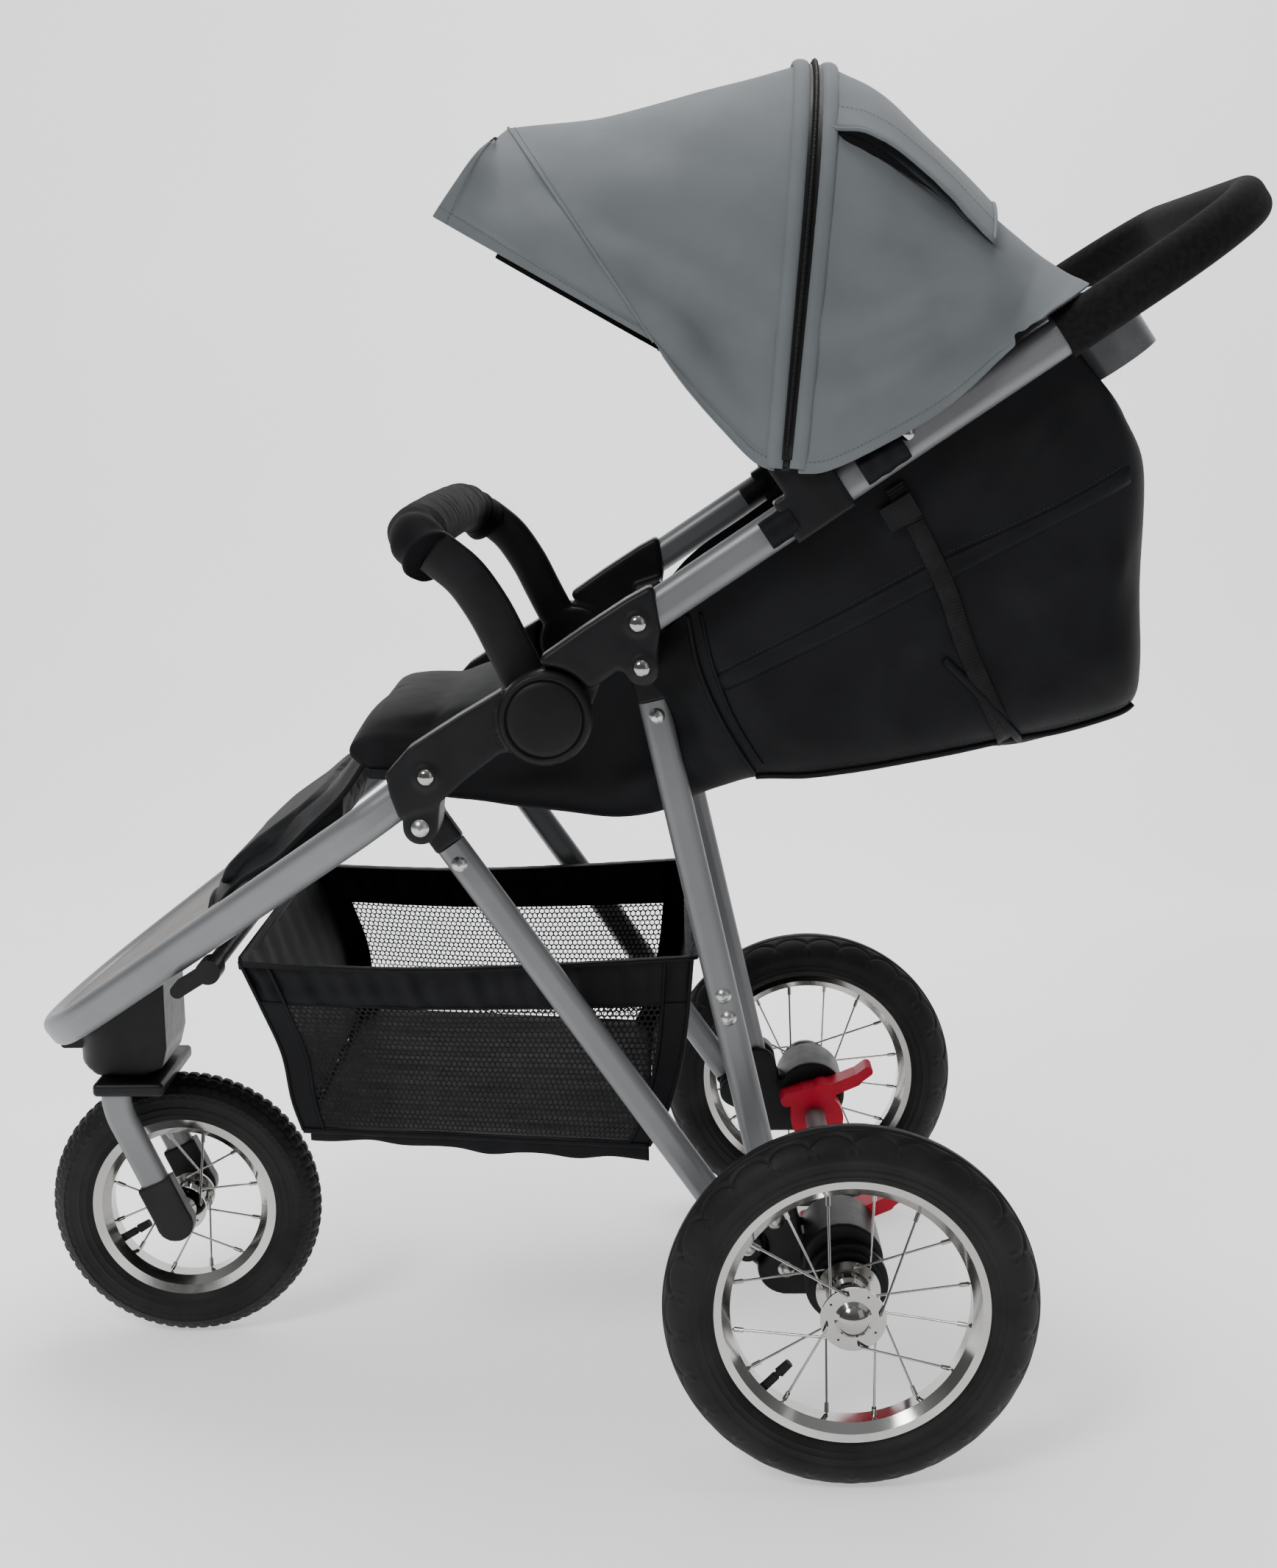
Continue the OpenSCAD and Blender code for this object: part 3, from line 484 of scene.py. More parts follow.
def metal(name, dark, light, roughness, spread, brushed=0.0, metallic=1.0):
    made = Finish(name, dark, roughness, metallic)
    made.tint(made.noise(8, 4), dark, light)
    made.rough(made.noise(120, 5), roughness - spread, roughness + spread)
    made.bump(made.noise(2200, 1), 0.02, 0.2 + brushed)
    return made.material


CANOPY_GREY = woven("canopy_softshell", (0.118, 0.130, 0.137), (0.138, 0.151, 0.159), 0.78, 0.5, 0.10,
                    0.18, 0.3)
BLACK_CLOTH = woven("black_polyester", (0.0036, 0.0038, 0.0046), (0.0062, 0.0065, 0.0078), 0.55, 0.55, 0.0,
                    0.25, 0.14)
SLEEVE_CLOTH = woven("sleeve_cloth", (0.0036, 0.0038, 0.0044), (0.006, 0.0063, 0.0072), 0.7, 0.3, 0.0,
                     0.1, 0.08)
LINING = woven("black_lining", (0.003, 0.003, 0.0033), (0.005, 0.005, 0.0056), 0.85, 0.6, 0.0)
SEAT_CLOTH = woven("seat_cloth", (0.0058, 0.006, 0.0068), (0.0095, 0.0098, 0.011), 0.7, 0.8, 0.02, 0.25, 0.16)
SEAT_PANEL = woven("seat_panel_cloth", (0.010, 0.0105, 0.0115), (0.016, 0.0165, 0.018), 0.8, 1.1, 0.03)
grey_thread = Finish("sewing_thread", (0.05, 0.055, 0.058), 0.7)
THREAD = grey_thread.tint(grey_thread.noise(400), (0.06, 0.066, 0.07), (0.11, 0.12, 0.125)).material
black_thread = Finish("black_thread", (0.014, 0.014, 0.015), 0.6)
DARK_THREAD = black_thread.tint(black_thread.noise(400), (0.012, 0.012, 0.013), (0.03, 0.03, 0.032)).material

webbing = Finish("ribbed_webbing", (0.006, 0.006, 0.0065), 0.6, Specular_IOR_Level=0.15)
webbing.tint(webbing.noise(60), (0.004, 0.004, 0.0045), (0.009, 0.009, 0.010))
webbing.bump(webbing.threads(2.6, "Y"), 0.5, 0.9)
webbing.bump(webbing.threads(0.9, "X"), 0.15, 0.6)
WEBBING = webbing.material

foam = Finish("grip_foam", (0.006, 0.006, 0.0065), 0.9, Specular_IOR_Level=0.14)
foam.tint(foam.noise(220, 5), (0.0045, 0.0045, 0.005), (0.009, 0.009, 0.0095))
foam.bump(foam.noise(750, 4), 0.5, 0.6)
foam.bump(foam.cells(1100), 0.15, 0.3)
FOAM = foam.material

rubber = Finish("tyre_rubber", (0.007, 0.007, 0.0072), 0.6, Specular_IOR_Level=0.2)
rubber.tint(rubber.noise(22, 5), (0.0055, 0.0055, 0.0058), (0.013, 0.0128, 0.0125))
rubber.rough(rubber.noise(50, 4), 0.48, 0.68)
rubber.bump(rubber.noise(420, 3), 0.12, 0.35)
RUBBER = rubber.material

TUBE_METAL = metal("satin_silver_tube", (0.165, 0.169, 0.176), (0.195, 0.199, 0.206), 0.44, 0.05, 0.1, 0.5)
CHROME = metal("chrome", (0.33, 0.325, 0.31), (0.46, 0.455, 0.44), 0.11, 0.05)
STEEL = metal("zinc_plated_steel", (0.42, 0.42, 0.41), (0.56, 0.56, 0.55), 0.30, 0.08)
CASTING = moulded_plastic("black_casting", (0.0062, 0.0064, 0.0072), (0.0098, 0.010, 0.011), 0.42)
DARK_PLASTIC = moulded_plastic("dark_moulding", (0.0042, 0.0044, 0.0048), (0.007, 0.007, 0.0075), 0.48)
GLOSS_CAP = moulded_plastic("gloss_cap", (0.0045, 0.0045, 0.005), (0.008, 0.008, 0.0085), 0.34, 0.12)
RED_PLASTIC = moulded_plastic("red_plastic", (0.40, 0.003, 0.022), (0.50, 0.006, 0.03), 0.36, 0.2)
FOOT_PLATE = moulded_plastic("footrest_plate", (0.095, 0.089, 0.083), (0.125, 0.117, 0.109), 0.5, 0.5)
TRAY = moulded_plastic("smoky_tray", (0.085, 0.090, 0.095), (0.115, 0.120, 0.126), 0.24, 0.1)


# ---------- finishes of the CAD nodes that stay ----------

OF_SLOT = {"tube_metal": TUBE_METAL, "black_plastic": CASTING, "black_gloss": GLOSS_CAP, "chrome": CHROME,
           "seat_panel": SEAT_PANEL, "red_plastic": RED_PLASTIC, "tyre": RUBBER, "steel": STEEL,
           "rubber": RUBBER, "foam": FOAM, "footrest_plate": FOOT_PLATE, "tray_plastic": TRAY,
           "black_fabric": BLACK_CLOTH, "webbing": WEBBING, "canopy_fabric": CANOPY_GREY}
for obj in NODES.values():
    for k, old in enumerate(obj.data.materials):
        obj.data.materials[k] = OF_SLOT[old.name.split(".")[0]]


# ---------- canopy ----------

# Heights, widths and outlines below are in millimetres; an outline is (x, z) pairs in the side view.
CANOPY_HALF = 278.0
ROOF_CORNER = 147.0
CANOPY_HEART = Vector((mm(138), 0, mm(900)))
HEM_STEPS = [0, 1.5, 8.5, 10.5, 12.5, 16]
HALF_COLUMNS = 54
CAMERA_AT = Vector((0.0565, -1.9097, 0.8737))
SHOULDER_OUT = 150
CLOTH_CLEAR = 1.0
HEM_RISE, HEM_COLUMNS, HEM_ROWS = 0.9, 3, 2
CLOTH_THICK = 1.3
LINE_POINTS = 200
SIDE_FROM, SIDE_TO = 0.55, 0.90  # shares of the half width between which the folds come in
FOLD_DEPTH = 2.6
CREASE_SIZE, CREASE_HEIGHT = 70, 2.0


def near_roof(x, z, out=SHOULDER_OUT):
    """A point of the roof's outline, given on the middle plane, brought to the near shoulder.

    The camera is below the roof, so the outline that it sees is the shoulder, out mm nearer than the middle.
    """
    nearer = 1 + mm(out) / CAMERA_AT.y
    eye_x, eye_z = CAMERA_AT.x * 1000, CAMERA_AT.z * 1000
    return eye_x + (x - eye_x) * nearer, eye_z + (z - eye_z) * nearer + CLOTH_CLEAR


def mirrored(path):
    """A path from the left to the middle, carried on to the right."""
    return path + [Vector((p.x, -p.y, p.z)) for p in reversed(path[:-1])]


def arch(bottom, top, corner=ROOF_CORNER, half=CANOPY_HALF, hem=HEM_STEPS, columns=HALF_COLUMNS):
    """One rib of the canopy, from the left hem over the ridge to the right hem."""
    foot, head = flat_points([bottom, top])
    up = (head - foot).normalized()
    rise = (head - foot).length
    side = Vector((0, mm(half), 0))
    r = min(mm(corner), rise)
    bend = [foot + up * (rise - r + r * math.sin(a)) - side + Vector((0, r * (1 - math.cos(a)), 0))
            for a in [math.pi / 2 * k / 16 for k in range(17)]]
    outline = [foot - side] + bend + [head]
    lengths = running_length(outline)
    stops = [mm(h) for h in hem]
    rest = columns - len(stops)
    stops += [stops[-1] + (lengths[-1] - stops[-1]) * (k + 1) / rest for k in range(rest)]
    return mirrored([at_length(outline, lengths, s) for s in stops])


def along(line, t):
    return line[round(t * (len(line) - 1))]


def side_view(p):
    """A point's place in the side view in millimetres."""
    return p.x * 1000, p.z * 1000


def ribs(hem_line, ridge_line, stops, corners=(ROOF_CORNER, ROOF_CORNER)):
    """Ribs between a hem line and a ridge line; stops are shares of the way along them."""
    foot, head = (evenly(side_curve(line, 80), LINE_POINTS) for line in (hem_line, ridge_line))
    first, last = corners
    return [arch(side_view(along(foot, t)), side_view(along(head, t)), first + (last - first) * t)
            for t in stops]


FOLD_OVERRUN, FOLD_FADE = 0.15, 0.4


def fold_height(p, folds):
    """Height in metres of soft folds at a point. A fold is x, z to x, z in the side view, width, depth."""
    total = 0.0
    for x0, z0, x1, z1, width, depth in folds:
        d = Vector((mm(x1 - x0), mm(z1 - z0)))
        q = p.xz - Vector((mm(x0), mm(z0)))
        t = q.dot(d) / d.length_squared
        if not -FOLD_OVERRUN < t < 1 + FOLD_OVERRUN:
            continue
        away = (q - d * t).length / mm(width)
        ends = smoothstep((t + FOLD_OVERRUN) / FOLD_FADE) * smoothstep((1 + FOLD_OVERRUN - t) / FOLD_FADE)
        total += mm(depth) * math.exp(-away * away) * ends
    return total


def soft_noise(p, size, height):
    return mm(height) * noise.noise(p * (1 / mm(size)))


def canopy_panel(name, rows, folds, sag, front_hem=False, back_hem=False):
    """A taut sheet between two ribs with its hems, soft folds and black lining; its points; its area."""
    count, across = len(rows), len(rows[0])

    def height(p, i, j):
        u, v = i / (count - 1), j / (across - 1)
        side = smoothstep((abs(p.y) / mm(CANOPY_HALF) - SIDE_FROM) / (SIDE_TO - SIDE_FROM))
        free = math.sin(math.pi * u)
        pull = -mm(sag) * free * math.sin(math.pi * v) ** 0.5
        crease = fold_height(p, folds) * side * FOLD_DEPTH + soft_noise(p, CREASE_SIZE, CREASE_HEIGHT)
        hemmed = min(j, across - 1 - j) <= HEM_COLUMNS
        hemmed = hemmed or front_hem and i <= HEM_ROWS or back_hem and count - 1 - i <= HEM_ROWS
        return pull + crease * free ** 0.5 + (mm(HEM_RISE) if hemmed else 0)

    moved = pushed(rows, CANOPY_HEART, height)
    obj, area = cloth_sheet(name, moved, CANOPY_HEART, CLOTH_THICK, CANOPY_GREY, LINING)
    return obj, moved, area


def edge_roll(name, points, thick, material):
    """A thin rolled edge or piping along points."""
    path = evenly(points, max(12, int(running_length(points)[-1] / mm(5))))
    return dressed(sweep(name, path, round_section(thick, thick, 10)), material)


def column_of(rows, j):
    return [row[j] for row in rows]


CANOPY_PIVOT = Vector((mm(138), 0, mm(812)))


def canopy_bend(obj):
    """Bakes a canopy piece's placement into its mesh."""
    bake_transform(obj)


FRONT_SEAM = ((41, 899), near_roof(-84, 1083))
FRONT_FOLDS = [(-9, 990, 122, 946, 20, -4.0), (14, 955, 129, 888, 17, -5.5), (0, 975, 125, 918, 15, 3.0),
               (45, 934, 125, 905, 12, 2.5), (70, 900, 128, 850, 14, -3.5), (-40, 1040, 60, 1010, 26, 1.8),
               (30, 925, 100, 870, 13, 3.0)]
REAR_FOLDS = [(165, 928, 270, 950, 18, -4.5), (163, 905, 262, 930, 15, 3.2), (160, 872, 272, 920, 18, -5.5),
              (165, 850, 255, 888, 13, 3.5), (162, 834, 318, 912, 15, -4.5), (185, 975, 300, 960, 22, 2.0),
              (205, 990, 290, 950, 18, -2.2)]
VISOR_FOLDS = [(-95, 1010, -30, 1010, 22, -2.5), (-60, 1020, 0, 950, 16, 1.8)]

REAR_RIDGE = [(189, 1128), (227, 1104), (257, 1075), (300, 1032), (340, 992), (375, 960), (396, 943)]
END_CORNER = 82

visor_rows = ribs([(-120, 991), (-40, 945.5), FRONT_SEAM[0]],
                  [near_roof(-96, 1069, 197), near_roof(-92, 1077, 174), FRONT_SEAM[1]],
                  [0, 0.008, 0.06, 0.075, 0.09] + [0.09 + 0.91 * k / 14 for k in range(1, 15)],
                  (END_CORNER, ROOF_CORNER))
front_rows = ribs([FRONT_SEAM[0], (67, 863), (92, 834), (114, 811), (129, 803.5)],
                  [FRONT_SEAM[1], near_roof(-15, 1094), near_roof(60, 1113), near_roof(164, 1131)],
                  [k / 48 for k in range(49)])
rear_rows = ribs([(147, 801.5), (168, 803), (204, 819), (253, 847), (290, 879), (317, 909)],
                 [near_roof(x, z) for x, z in REAR_RIDGE],
                 [0.93 * k / 46 for k in range(47)] + [0.94, 0.955, 0.97, 0.99, 1], (ROOF_CORNER, END_CORNER))

visor_panel, visor_grid, visor_area = canopy_panel("canopy_visor", visor_rows, VISOR_FOLDS, 1.5,
                                                   front_hem=True)
front_panel, front_grid, front_area = canopy_panel("canopy_front_panel", front_rows, FRONT_FOLDS, 6)
rear_panel, rear_grid, rear_area = canopy_panel("canopy_rear_panel", rear_rows, REAR_FOLDS, 6, back_hem=True)


def surface_line(rows, picks, lift, heart=CANOPY_HEART):
    """Points of a grid lifted off it, with their normals."""
    normals = grid_normals(rows, heart)
    return [rows[i][j] + normals[i][j] * mm(lift) for i, j in picks], [normals[i][j] for i, j in picks]


def length_stitches(name, rows, columns):
    """Stitch lines along some columns of a grid."""
    return [stitches(f"{name}_{k}", *surface_line(rows, [(i, j) for i in range(len(rows))], 0.5), THREAD)
            for k, j in enumerate(columns)]


def hem_stitches(name, rows, ends=()):
    """Stitch lines along both hems of a canopy panel, and along the ribs named in ends."""
    last = len(rows[0]) - 1
    made = length_stitches(name, rows, (2, last - 2))
    made += [stitches(f"{name}_end_{i}", *surface_line(rows, [(i, j) for j in range(last + 1)], 0.5), THREAD)
             for i in ends]
    obj = join(name, made)
    canopy_bend(obj)
    return obj


visor_stitches = hem_stitches("visor_stitches", visor_grid, (2,))
front_stitches = hem_stitches("front_hem_stitches", front_grid)
rear_stitches = hem_stitches("rear_hem_stitches", rear_grid)

front_columns = range(len(front_grid[0]))
seam = surface_line(front_grid, [(0, j) for j in front_columns], 0.2)[0]
seam_piping = edge_roll("canopy_seam_piping", seam, 2.4, CANOPY_GREY)
seam = surface_line(front_grid, [(1, j) for j in front_columns[3:-3]], 0.4)
seam_stitches = stitches("canopy_seam_stitches", *seam, THREAD)

# The vent: a hemmed flap over the roof behind the zip, and a dark strip closing the gap under its open edge:
# the dark mesh there, with painted shade of the hollow under the flap.
FLAP_SHARE = 0.60 / 0.97  # of the rear panel's ribs, counted from the zip
FLAP_EDGE = [(169, 1052), (206, 1036), (240, 1011), (268, 986), (290, 968)]
flap_foot = evenly(side_curve(FLAP_EDGE, 60), LINE_POINTS)


def flap_rib(t):
    """A rib of the rear panel from the flap's edge upward."""
    at = t * FLAP_SHARE * (len(rear_rows) - 1)
    k = int(at)
    whole = [a.lerp(b, at - k) for a, b in zip(rear_rows[k], rear_rows[k + 1])]
    edge = along(flap_foot, t)
    fine = evenly(whole[:len(whole) // 2 + 1], 600)
    start = min(range(600), key=lambda k: (fine[k].xz - edge.xz).length)
    return mirrored(evenly(fine[start:], 22))


flap_rows = [flap_rib(k / 26) for k in range(27)]


FLAP_LIFT, FLAP_GAPE, FLAP_CROWN = mm(1.8), mm(7.5), mm(2.2)


def flap_height(p, i, j):
    """How far the flap stands off the roof: it gapes along its lower edge."""
    edge = min(j, len(flap_rows[0]) - 1 - j)
    t = i / (len(flap_rows) - 1)
    gape = smoothstep(t / 0.15) * smoothstep((0.95 - t) / 0.6)
    lip = math.exp(-edge / 2.2)
    return FLAP_LIFT + FLAP_GAPE * gape * lip + FLAP_CROWN * math.sin(math.pi * t) + soft_noise(p, 45, 1.6)


flap_grid = pushed(flap_rows, CANOPY_HEART, flap_height)
flap, flap_area = cloth_sheet("canopy_vent_flap", flap_grid, CANOPY_HEART, CLOTH_THICK, CANOPY_GREY, LINING)
flap_last = len(flap_grid[0]) - 1
flap_trim = join("canopy_vent_trim", [
    edge_roll(f"flap_roll_{k}", points, 3.2, CANOPY_GREY) for k, points in enumerate((
        column_of(flap_grid, 0), column_of(flap_grid, flap_last), flap_grid[-1]))])
flap_stitches = join("vent_flap_stitches", length_stitches("flap_stitch", flap_grid, (2, flap_last - 2)))


def vent_strip(side):
    """A dark strip in the gap under the flap's edge on one side, as deep as the gape: the dark mesh there,
    with painted shade of the hollow under the flap.
    """
    column = 0 if side == LEFT else flap_last
    under = column_of(flap_rows, column)
    normals = column_of(grid_normals(flap_rows, CANOPY_HEART), column)
    rows = []
    for i, (p, normal) in enumerate(zip(under, normals)):
        t = i / (len(under) - 1)
        gape = smoothstep(t / 0.12) * smoothstep((0.72 - t) / 0.5)
        down = Vector((-0.25, 0, -1)).normalized()
        top = p + normal * mm(0.7 + 1.6 * gape)
        rows.append([top + down * mm((7.5 - 7 * k / 4) * gape) for k in range(5)])
    return grid(f"vent_{side}", rows)


# These dark strips are the mesh under the flap together with painted shade of the gap.
vent_mesh_and_shade = thickened(dressed(join("canopy_vent_mesh", [vent_strip(LEFT), vent_strip(RIGHT)]), LINING), 0.6)


# The zip between two raised welts.
def bow_rib(foot, head, half=CANOPY_HALF):
    return arch(foot, head, half=half, hem=[0], columns=40)


def welt(name, foot, head):
    path = evenly(bow_rib(foot, head, CANOPY_HALF - 1.2), 150)
    return sweep(name, path, round_section(7.4, 13, 14), up=(-1, 0, 0))


welts = dressed(join("canopy_zip_welts", [welt("welt_front", (129, 806), near_roof(164.5, 1132)),
                                          welt("welt_rear", (147, 805), near_roof(188, 1129))]), CANOPY_GREY)

zip_front = bow_rib((131, 812), near_roof(166, 1131))
zip_rear = bow_rib((145, 812), near_roof(186.5, 1129))
zip_tape = grid("zip_tape", [[a.lerp(b, k / 4) for a, b in zip(zip_front, zip_rear)] for k in range(5)])
zip_tape = thickened(zip_tape, 1.0)
zip_path = evenly(bow_rib((138, 814), near_roof(176, 1131), CANOPY_HALF + 0.8), 900)


def zip_teeth(at, whole):
    """The coil's girth: a turn every 3 mm, tapered at both ends."""
    taper = 0.75 + 0.25 * smoothstep(min(at, whole - at) / 0.12)
    return taper * (1.0 + 0.16 * math.sin(2 * math.pi * at / mm(3)))


zip_coil = sweep("zip_coil", zip_path, round_section(8.5, 4.2, 8), up=(-1, 0, 0), size=zip_teeth)
canopy_zip = dressed(join("canopy_zip", [zip_tape, zip_coil]), DARK_PLASTIC)

for piece in (visor_panel, front_panel, seam_piping, seam_stitches):
    canopy_bend(piece)
for piece in (rear_panel, flap, flap_trim, flap_stitches, vent_mesh_and_shade):
    canopy_bend(piece)
for piece in (welts, canopy_zip):
    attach(piece, "middle_bow")
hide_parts("canopy_front")
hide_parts("canopy_rear")

BOW_RISE, BOW_SPREAD = 0.915, 0.96


def drawn_in(name, body):
    """A CAD bow seen a little smaller, so that it stays under the taut cloth."""
    obj = node_copy(name, name + "_strip")
    for vertex in obj.data.vertices:
        away = vertex.co - CANOPY_PIVOT
        vertex.co = CANOPY_PIVOT + Vector((away.x * BOW_RISE, away.y * BOW_SPREAD, away.z * BOW_RISE))
    return finish_piece(obj, DARK_PLASTIC, body, name, slot="black_plastic")


front_bow = drawn_in("canopy_front_bow", "visor")
middle_bow = drawn_in("canopy_mid_bow", "middle_bow")


# ---------- castings of the frame ----------

def circle_outline(at, radius, first=0, last=360):
    """Points every 12 degrees round a circle, or along its arc from first to last."""
    whole = abs(last - first)
    count = max(2, round(whole / 12))
    turn = [math.radians(first + (last - first) * k / count) for k in range(count + (whole < 360))]
    return [(at[0] + radius * math.cos(a), at[1] + radius * math.sin(a)) for a in turn]


def plate(outline, y_in, y_out, side, soft=0.0):
    """An outline in the side view as a plate between two distances from the centre plane."""
    points = flat_points(outline)
    n = len(points)
    verts = [Vector((p.x, side * mm(y), p.z)) for y in (y_in, y_out) for p in points]
    faces = [tuple(range(n)), tuple(reversed(range(n, 2 * n)))]
    faces += [(k, (k + 1) % n, n + (k + 1) % n, n + k) for k in range(n)]
    obj = face_outward(new_object("plate", verts, faces))
    obj.data.shade_flat()
    if soft:
        bevel = obj.modifiers.new("soft", "BEVEL")
        bevel.width = mm(soft)
        bevel.segments = 4
        bevel.limit_method = "ANGLE"
        bevel.angle_limit = math.radians(50)
        apply_modifiers(obj)
    return obj


def casting(name, parts_of, body, node):
    """A left and a right casting, each the rounded union of the plates that parts_of(side) gives."""
    sides = [remeshed(join(f"{name}_{side}", parts_of(side)), 1.5, 5) for side in (LEFT, RIGHT)]
    return finish_piece(join(name, sides), CASTING, body, node, slot="black_plastic")


def domes(name, spots, radius, body):
    """Rivet heads on both sides; spots are ((x, z), y)."""
    made = []
    for (x, z), y in spots:
        dome = [(0.35, 0.40), (0.65, 0.30), (0.9, 0.13)]
        profile = [(0.01, y + radius * 0.42)] + [(radius * out, y + radius * up) for out, up in dome]
        profile += [(radius, y), (radius, y - 1.5)]
        made += [lathe(name, [(r, side * a) for r, a in profile], Vector((mm(x), 0, mm(z))), 28)
                 for side in (LEFT, RIGHT)]
    return finish_piece(join(name, made), CHROME, body)


HUB = (-46, 618)
UPPER_PIVOT = (28.5, 655)
LOWER_PIVOT = (-144.5, 533)
BAR_IN, BAR_OUT = 241, 269
BOSS_IN, BOSS_OUT = 262, 270.2
UPPER_BOSSES, LOWER_BOSS, BOSS_RADIUS = ((26, 690), (30, 657)), (-139, 573), 9.5


def upper_casting(side):
    bar = [(38, 718.5), (33, 717), (18, 709), (-15, 688), (-50, 664)] + circle_outline(HUB, 39, 92, 33) + [
        (-2, 645), (10, 654), (15, 651), (18, 646), (23, 642.5), (29, 641), (36, 643), (41, 648), (42.5, 655),
        (41, 668), (43.5, 685)]
    ear = circle_outline(UPPER_PIVOT, 13.5, 180, 360) + [(40, 680), (15, 672)]
    disc = circle_outline(HUB, 36)
    neck = [(-62, 645), (-30, 668), (0, 652), (-20, 600)]
    bosses = [plate(circle_outline(at, BOSS_RADIUS), BOSS_IN, BOSS_OUT, side, 1.0) for at in UPPER_BOSSES]
    return [plate(bar, BAR_IN, BAR_OUT, side, 7), plate(ear, 200.4, 262, side, 2),
            plate(disc, 240, 255.6, side, 1), plate(neck, 241, 255.6, side)] + bosses


def lower_casting(side):
    bar = [(-78.7, 640), (-113, 620), (-152, 595.5), (-170.5, 575), (-167.5, 559), (-161, 540.5), (-150, 545),
           (-133, 549), (-105, 573)] + circle_outline(HUB, 39.3, 218, 147)
    disc = circle_outline(HUB, 37)
    neck = [(-50, 650), (-92, 628), (-104, 585), (-70, 592)]
    lug = circle_outline(LOWER_PIVOT, 14, 180, 360) + [(-128, 560), (-158, 560)]
    boss = plate(circle_outline(LOWER_BOSS, BOSS_RADIUS), BOSS_IN, BOSS_OUT, side, 1.0)
    return [plate(bar, BAR_IN, BAR_OUT, side, 7), plate(disc, 256, 272, side, 4),
            plate(neck, 256, 268, side, 3), plate(lug, 220.4, 268, side, 3), boss]


casting("upper_castings", upper_casting, "handle_frame", "upper_housings")
casting("lower_castings", lower_casting, "front_frame", "lower_housings")
domes("upper_rivets", [(UPPER_BOSSES[0], BOSS_OUT), ((28.5, 656), BOSS_OUT)], 6.6, "handle_frame")
domes("lower_rivets", [(LOWER_BOSS, BOSS_OUT), (LOWER_PIVOT, 268)], 6.6, "front_frame")
domes("tube_rivets", [((229, 830), 267.0)], 5.6, "handle_frame")


def hub_cover(side):
    """A domed cap with a groove round it."""
    profile = [(0.01, 277.2), (12, 277.1), (24, 276.7), (28.2, 276.0), (29.2, 275.2), (29.6, 273.9),
               (30.4, 273.9), (30.8, 275.6), (31.6, 276.1), (33.5, 275.6), (35.3, 274.2), (36.2, 271.8)]
    return lathe("cover", [(r, side * y) for r, y in profile], Vector((mm(HUB[0]), 0, mm(HUB[1]))), 128)


finish_piece(join("hub_covers", [hub_cover(LEFT), hub_cover(RIGHT)]), DARK_PLASTIC, "front_frame", "hub_caps",
             slot="black_gloss")

# ---------- bumper bar ----------

ARM_LINE = [(-46, 618), (-58, 636), (-66, 650), (-77, 672), (-90, 698), (-107, 723), (-124, 738), (-134, 745)]


ARM_ACROSS = 231.8


def squarish(width, height, power=2.8, steps=24):
    """A rounded-rectangle section, width sideways and height along up."""
    result = []
    for k in range(steps):
        a = 2 * math.pi * k / steps
        c, s = math.cos(a), math.sin(a)
        result.append((mm(width) / 2 * math.copysign(abs(c) ** (2 / power), c),
                       mm(height) / 2 * math.copysign(abs(s) ** (2 / power), s)))
    return result


def bumper_arm(side):
    arm = sweep("arm", curve_through(flat_points(ARM_LINE, side * ARM_ACROSS), 60), squarish(36, 15.2))
    collar = plate(circle_outline(HUB, 33.5), ARM_ACROSS - 7.6, ARM_ACROSS + 7.6, side, 2)
    return [arm, collar]


CROSSBAR = [(-133, 738, -ARM_ACROSS), (-142, 747, -221), (-148, 752, -203), (-151, 754, -165), (-152, 755, 0)]
cross_line = curve_through(mirrored([Vector((mm(x), mm(y), mm(z))) for x, z, y in CROSSBAR]), 420)
casting("bumper_arms", bumper_arm, "bumper", "bumper_bar")


def sleeve_size(at, whole):
    """The sleeve's girth: gathered folds in its bends, rolled hems at its mouths."""
    end = min(at, whole - at)
    bend = smoothstep((0.12 - end) / 0.06)
    pucker = math.sin(at * 300 + 1.3 * math.sin(at * 95)) * (0.005 + 0.022 * bend)
    hem = 0.05 * math.exp(-((end - 0.004) / 0.004) ** 2)
    return 1.0 + pucker + hem - 0.02 * bend


sleeve = sweep("bumper_cover", cross_line, squarish(43, 45, 2.15, 40), size=sleeve_size)
for vertex in sleeve.data.vertices:
    vertex.co += Vector((1, 0.2, 1)) * soft_noise(vertex.co, 16, 0.9)
finish_piece(sleeve, SLEEVE_CLOTH, "bumper", "bumper_sleeve", slot="black_fabric")

# ---------- the fabric tub under and behind the seat ----------

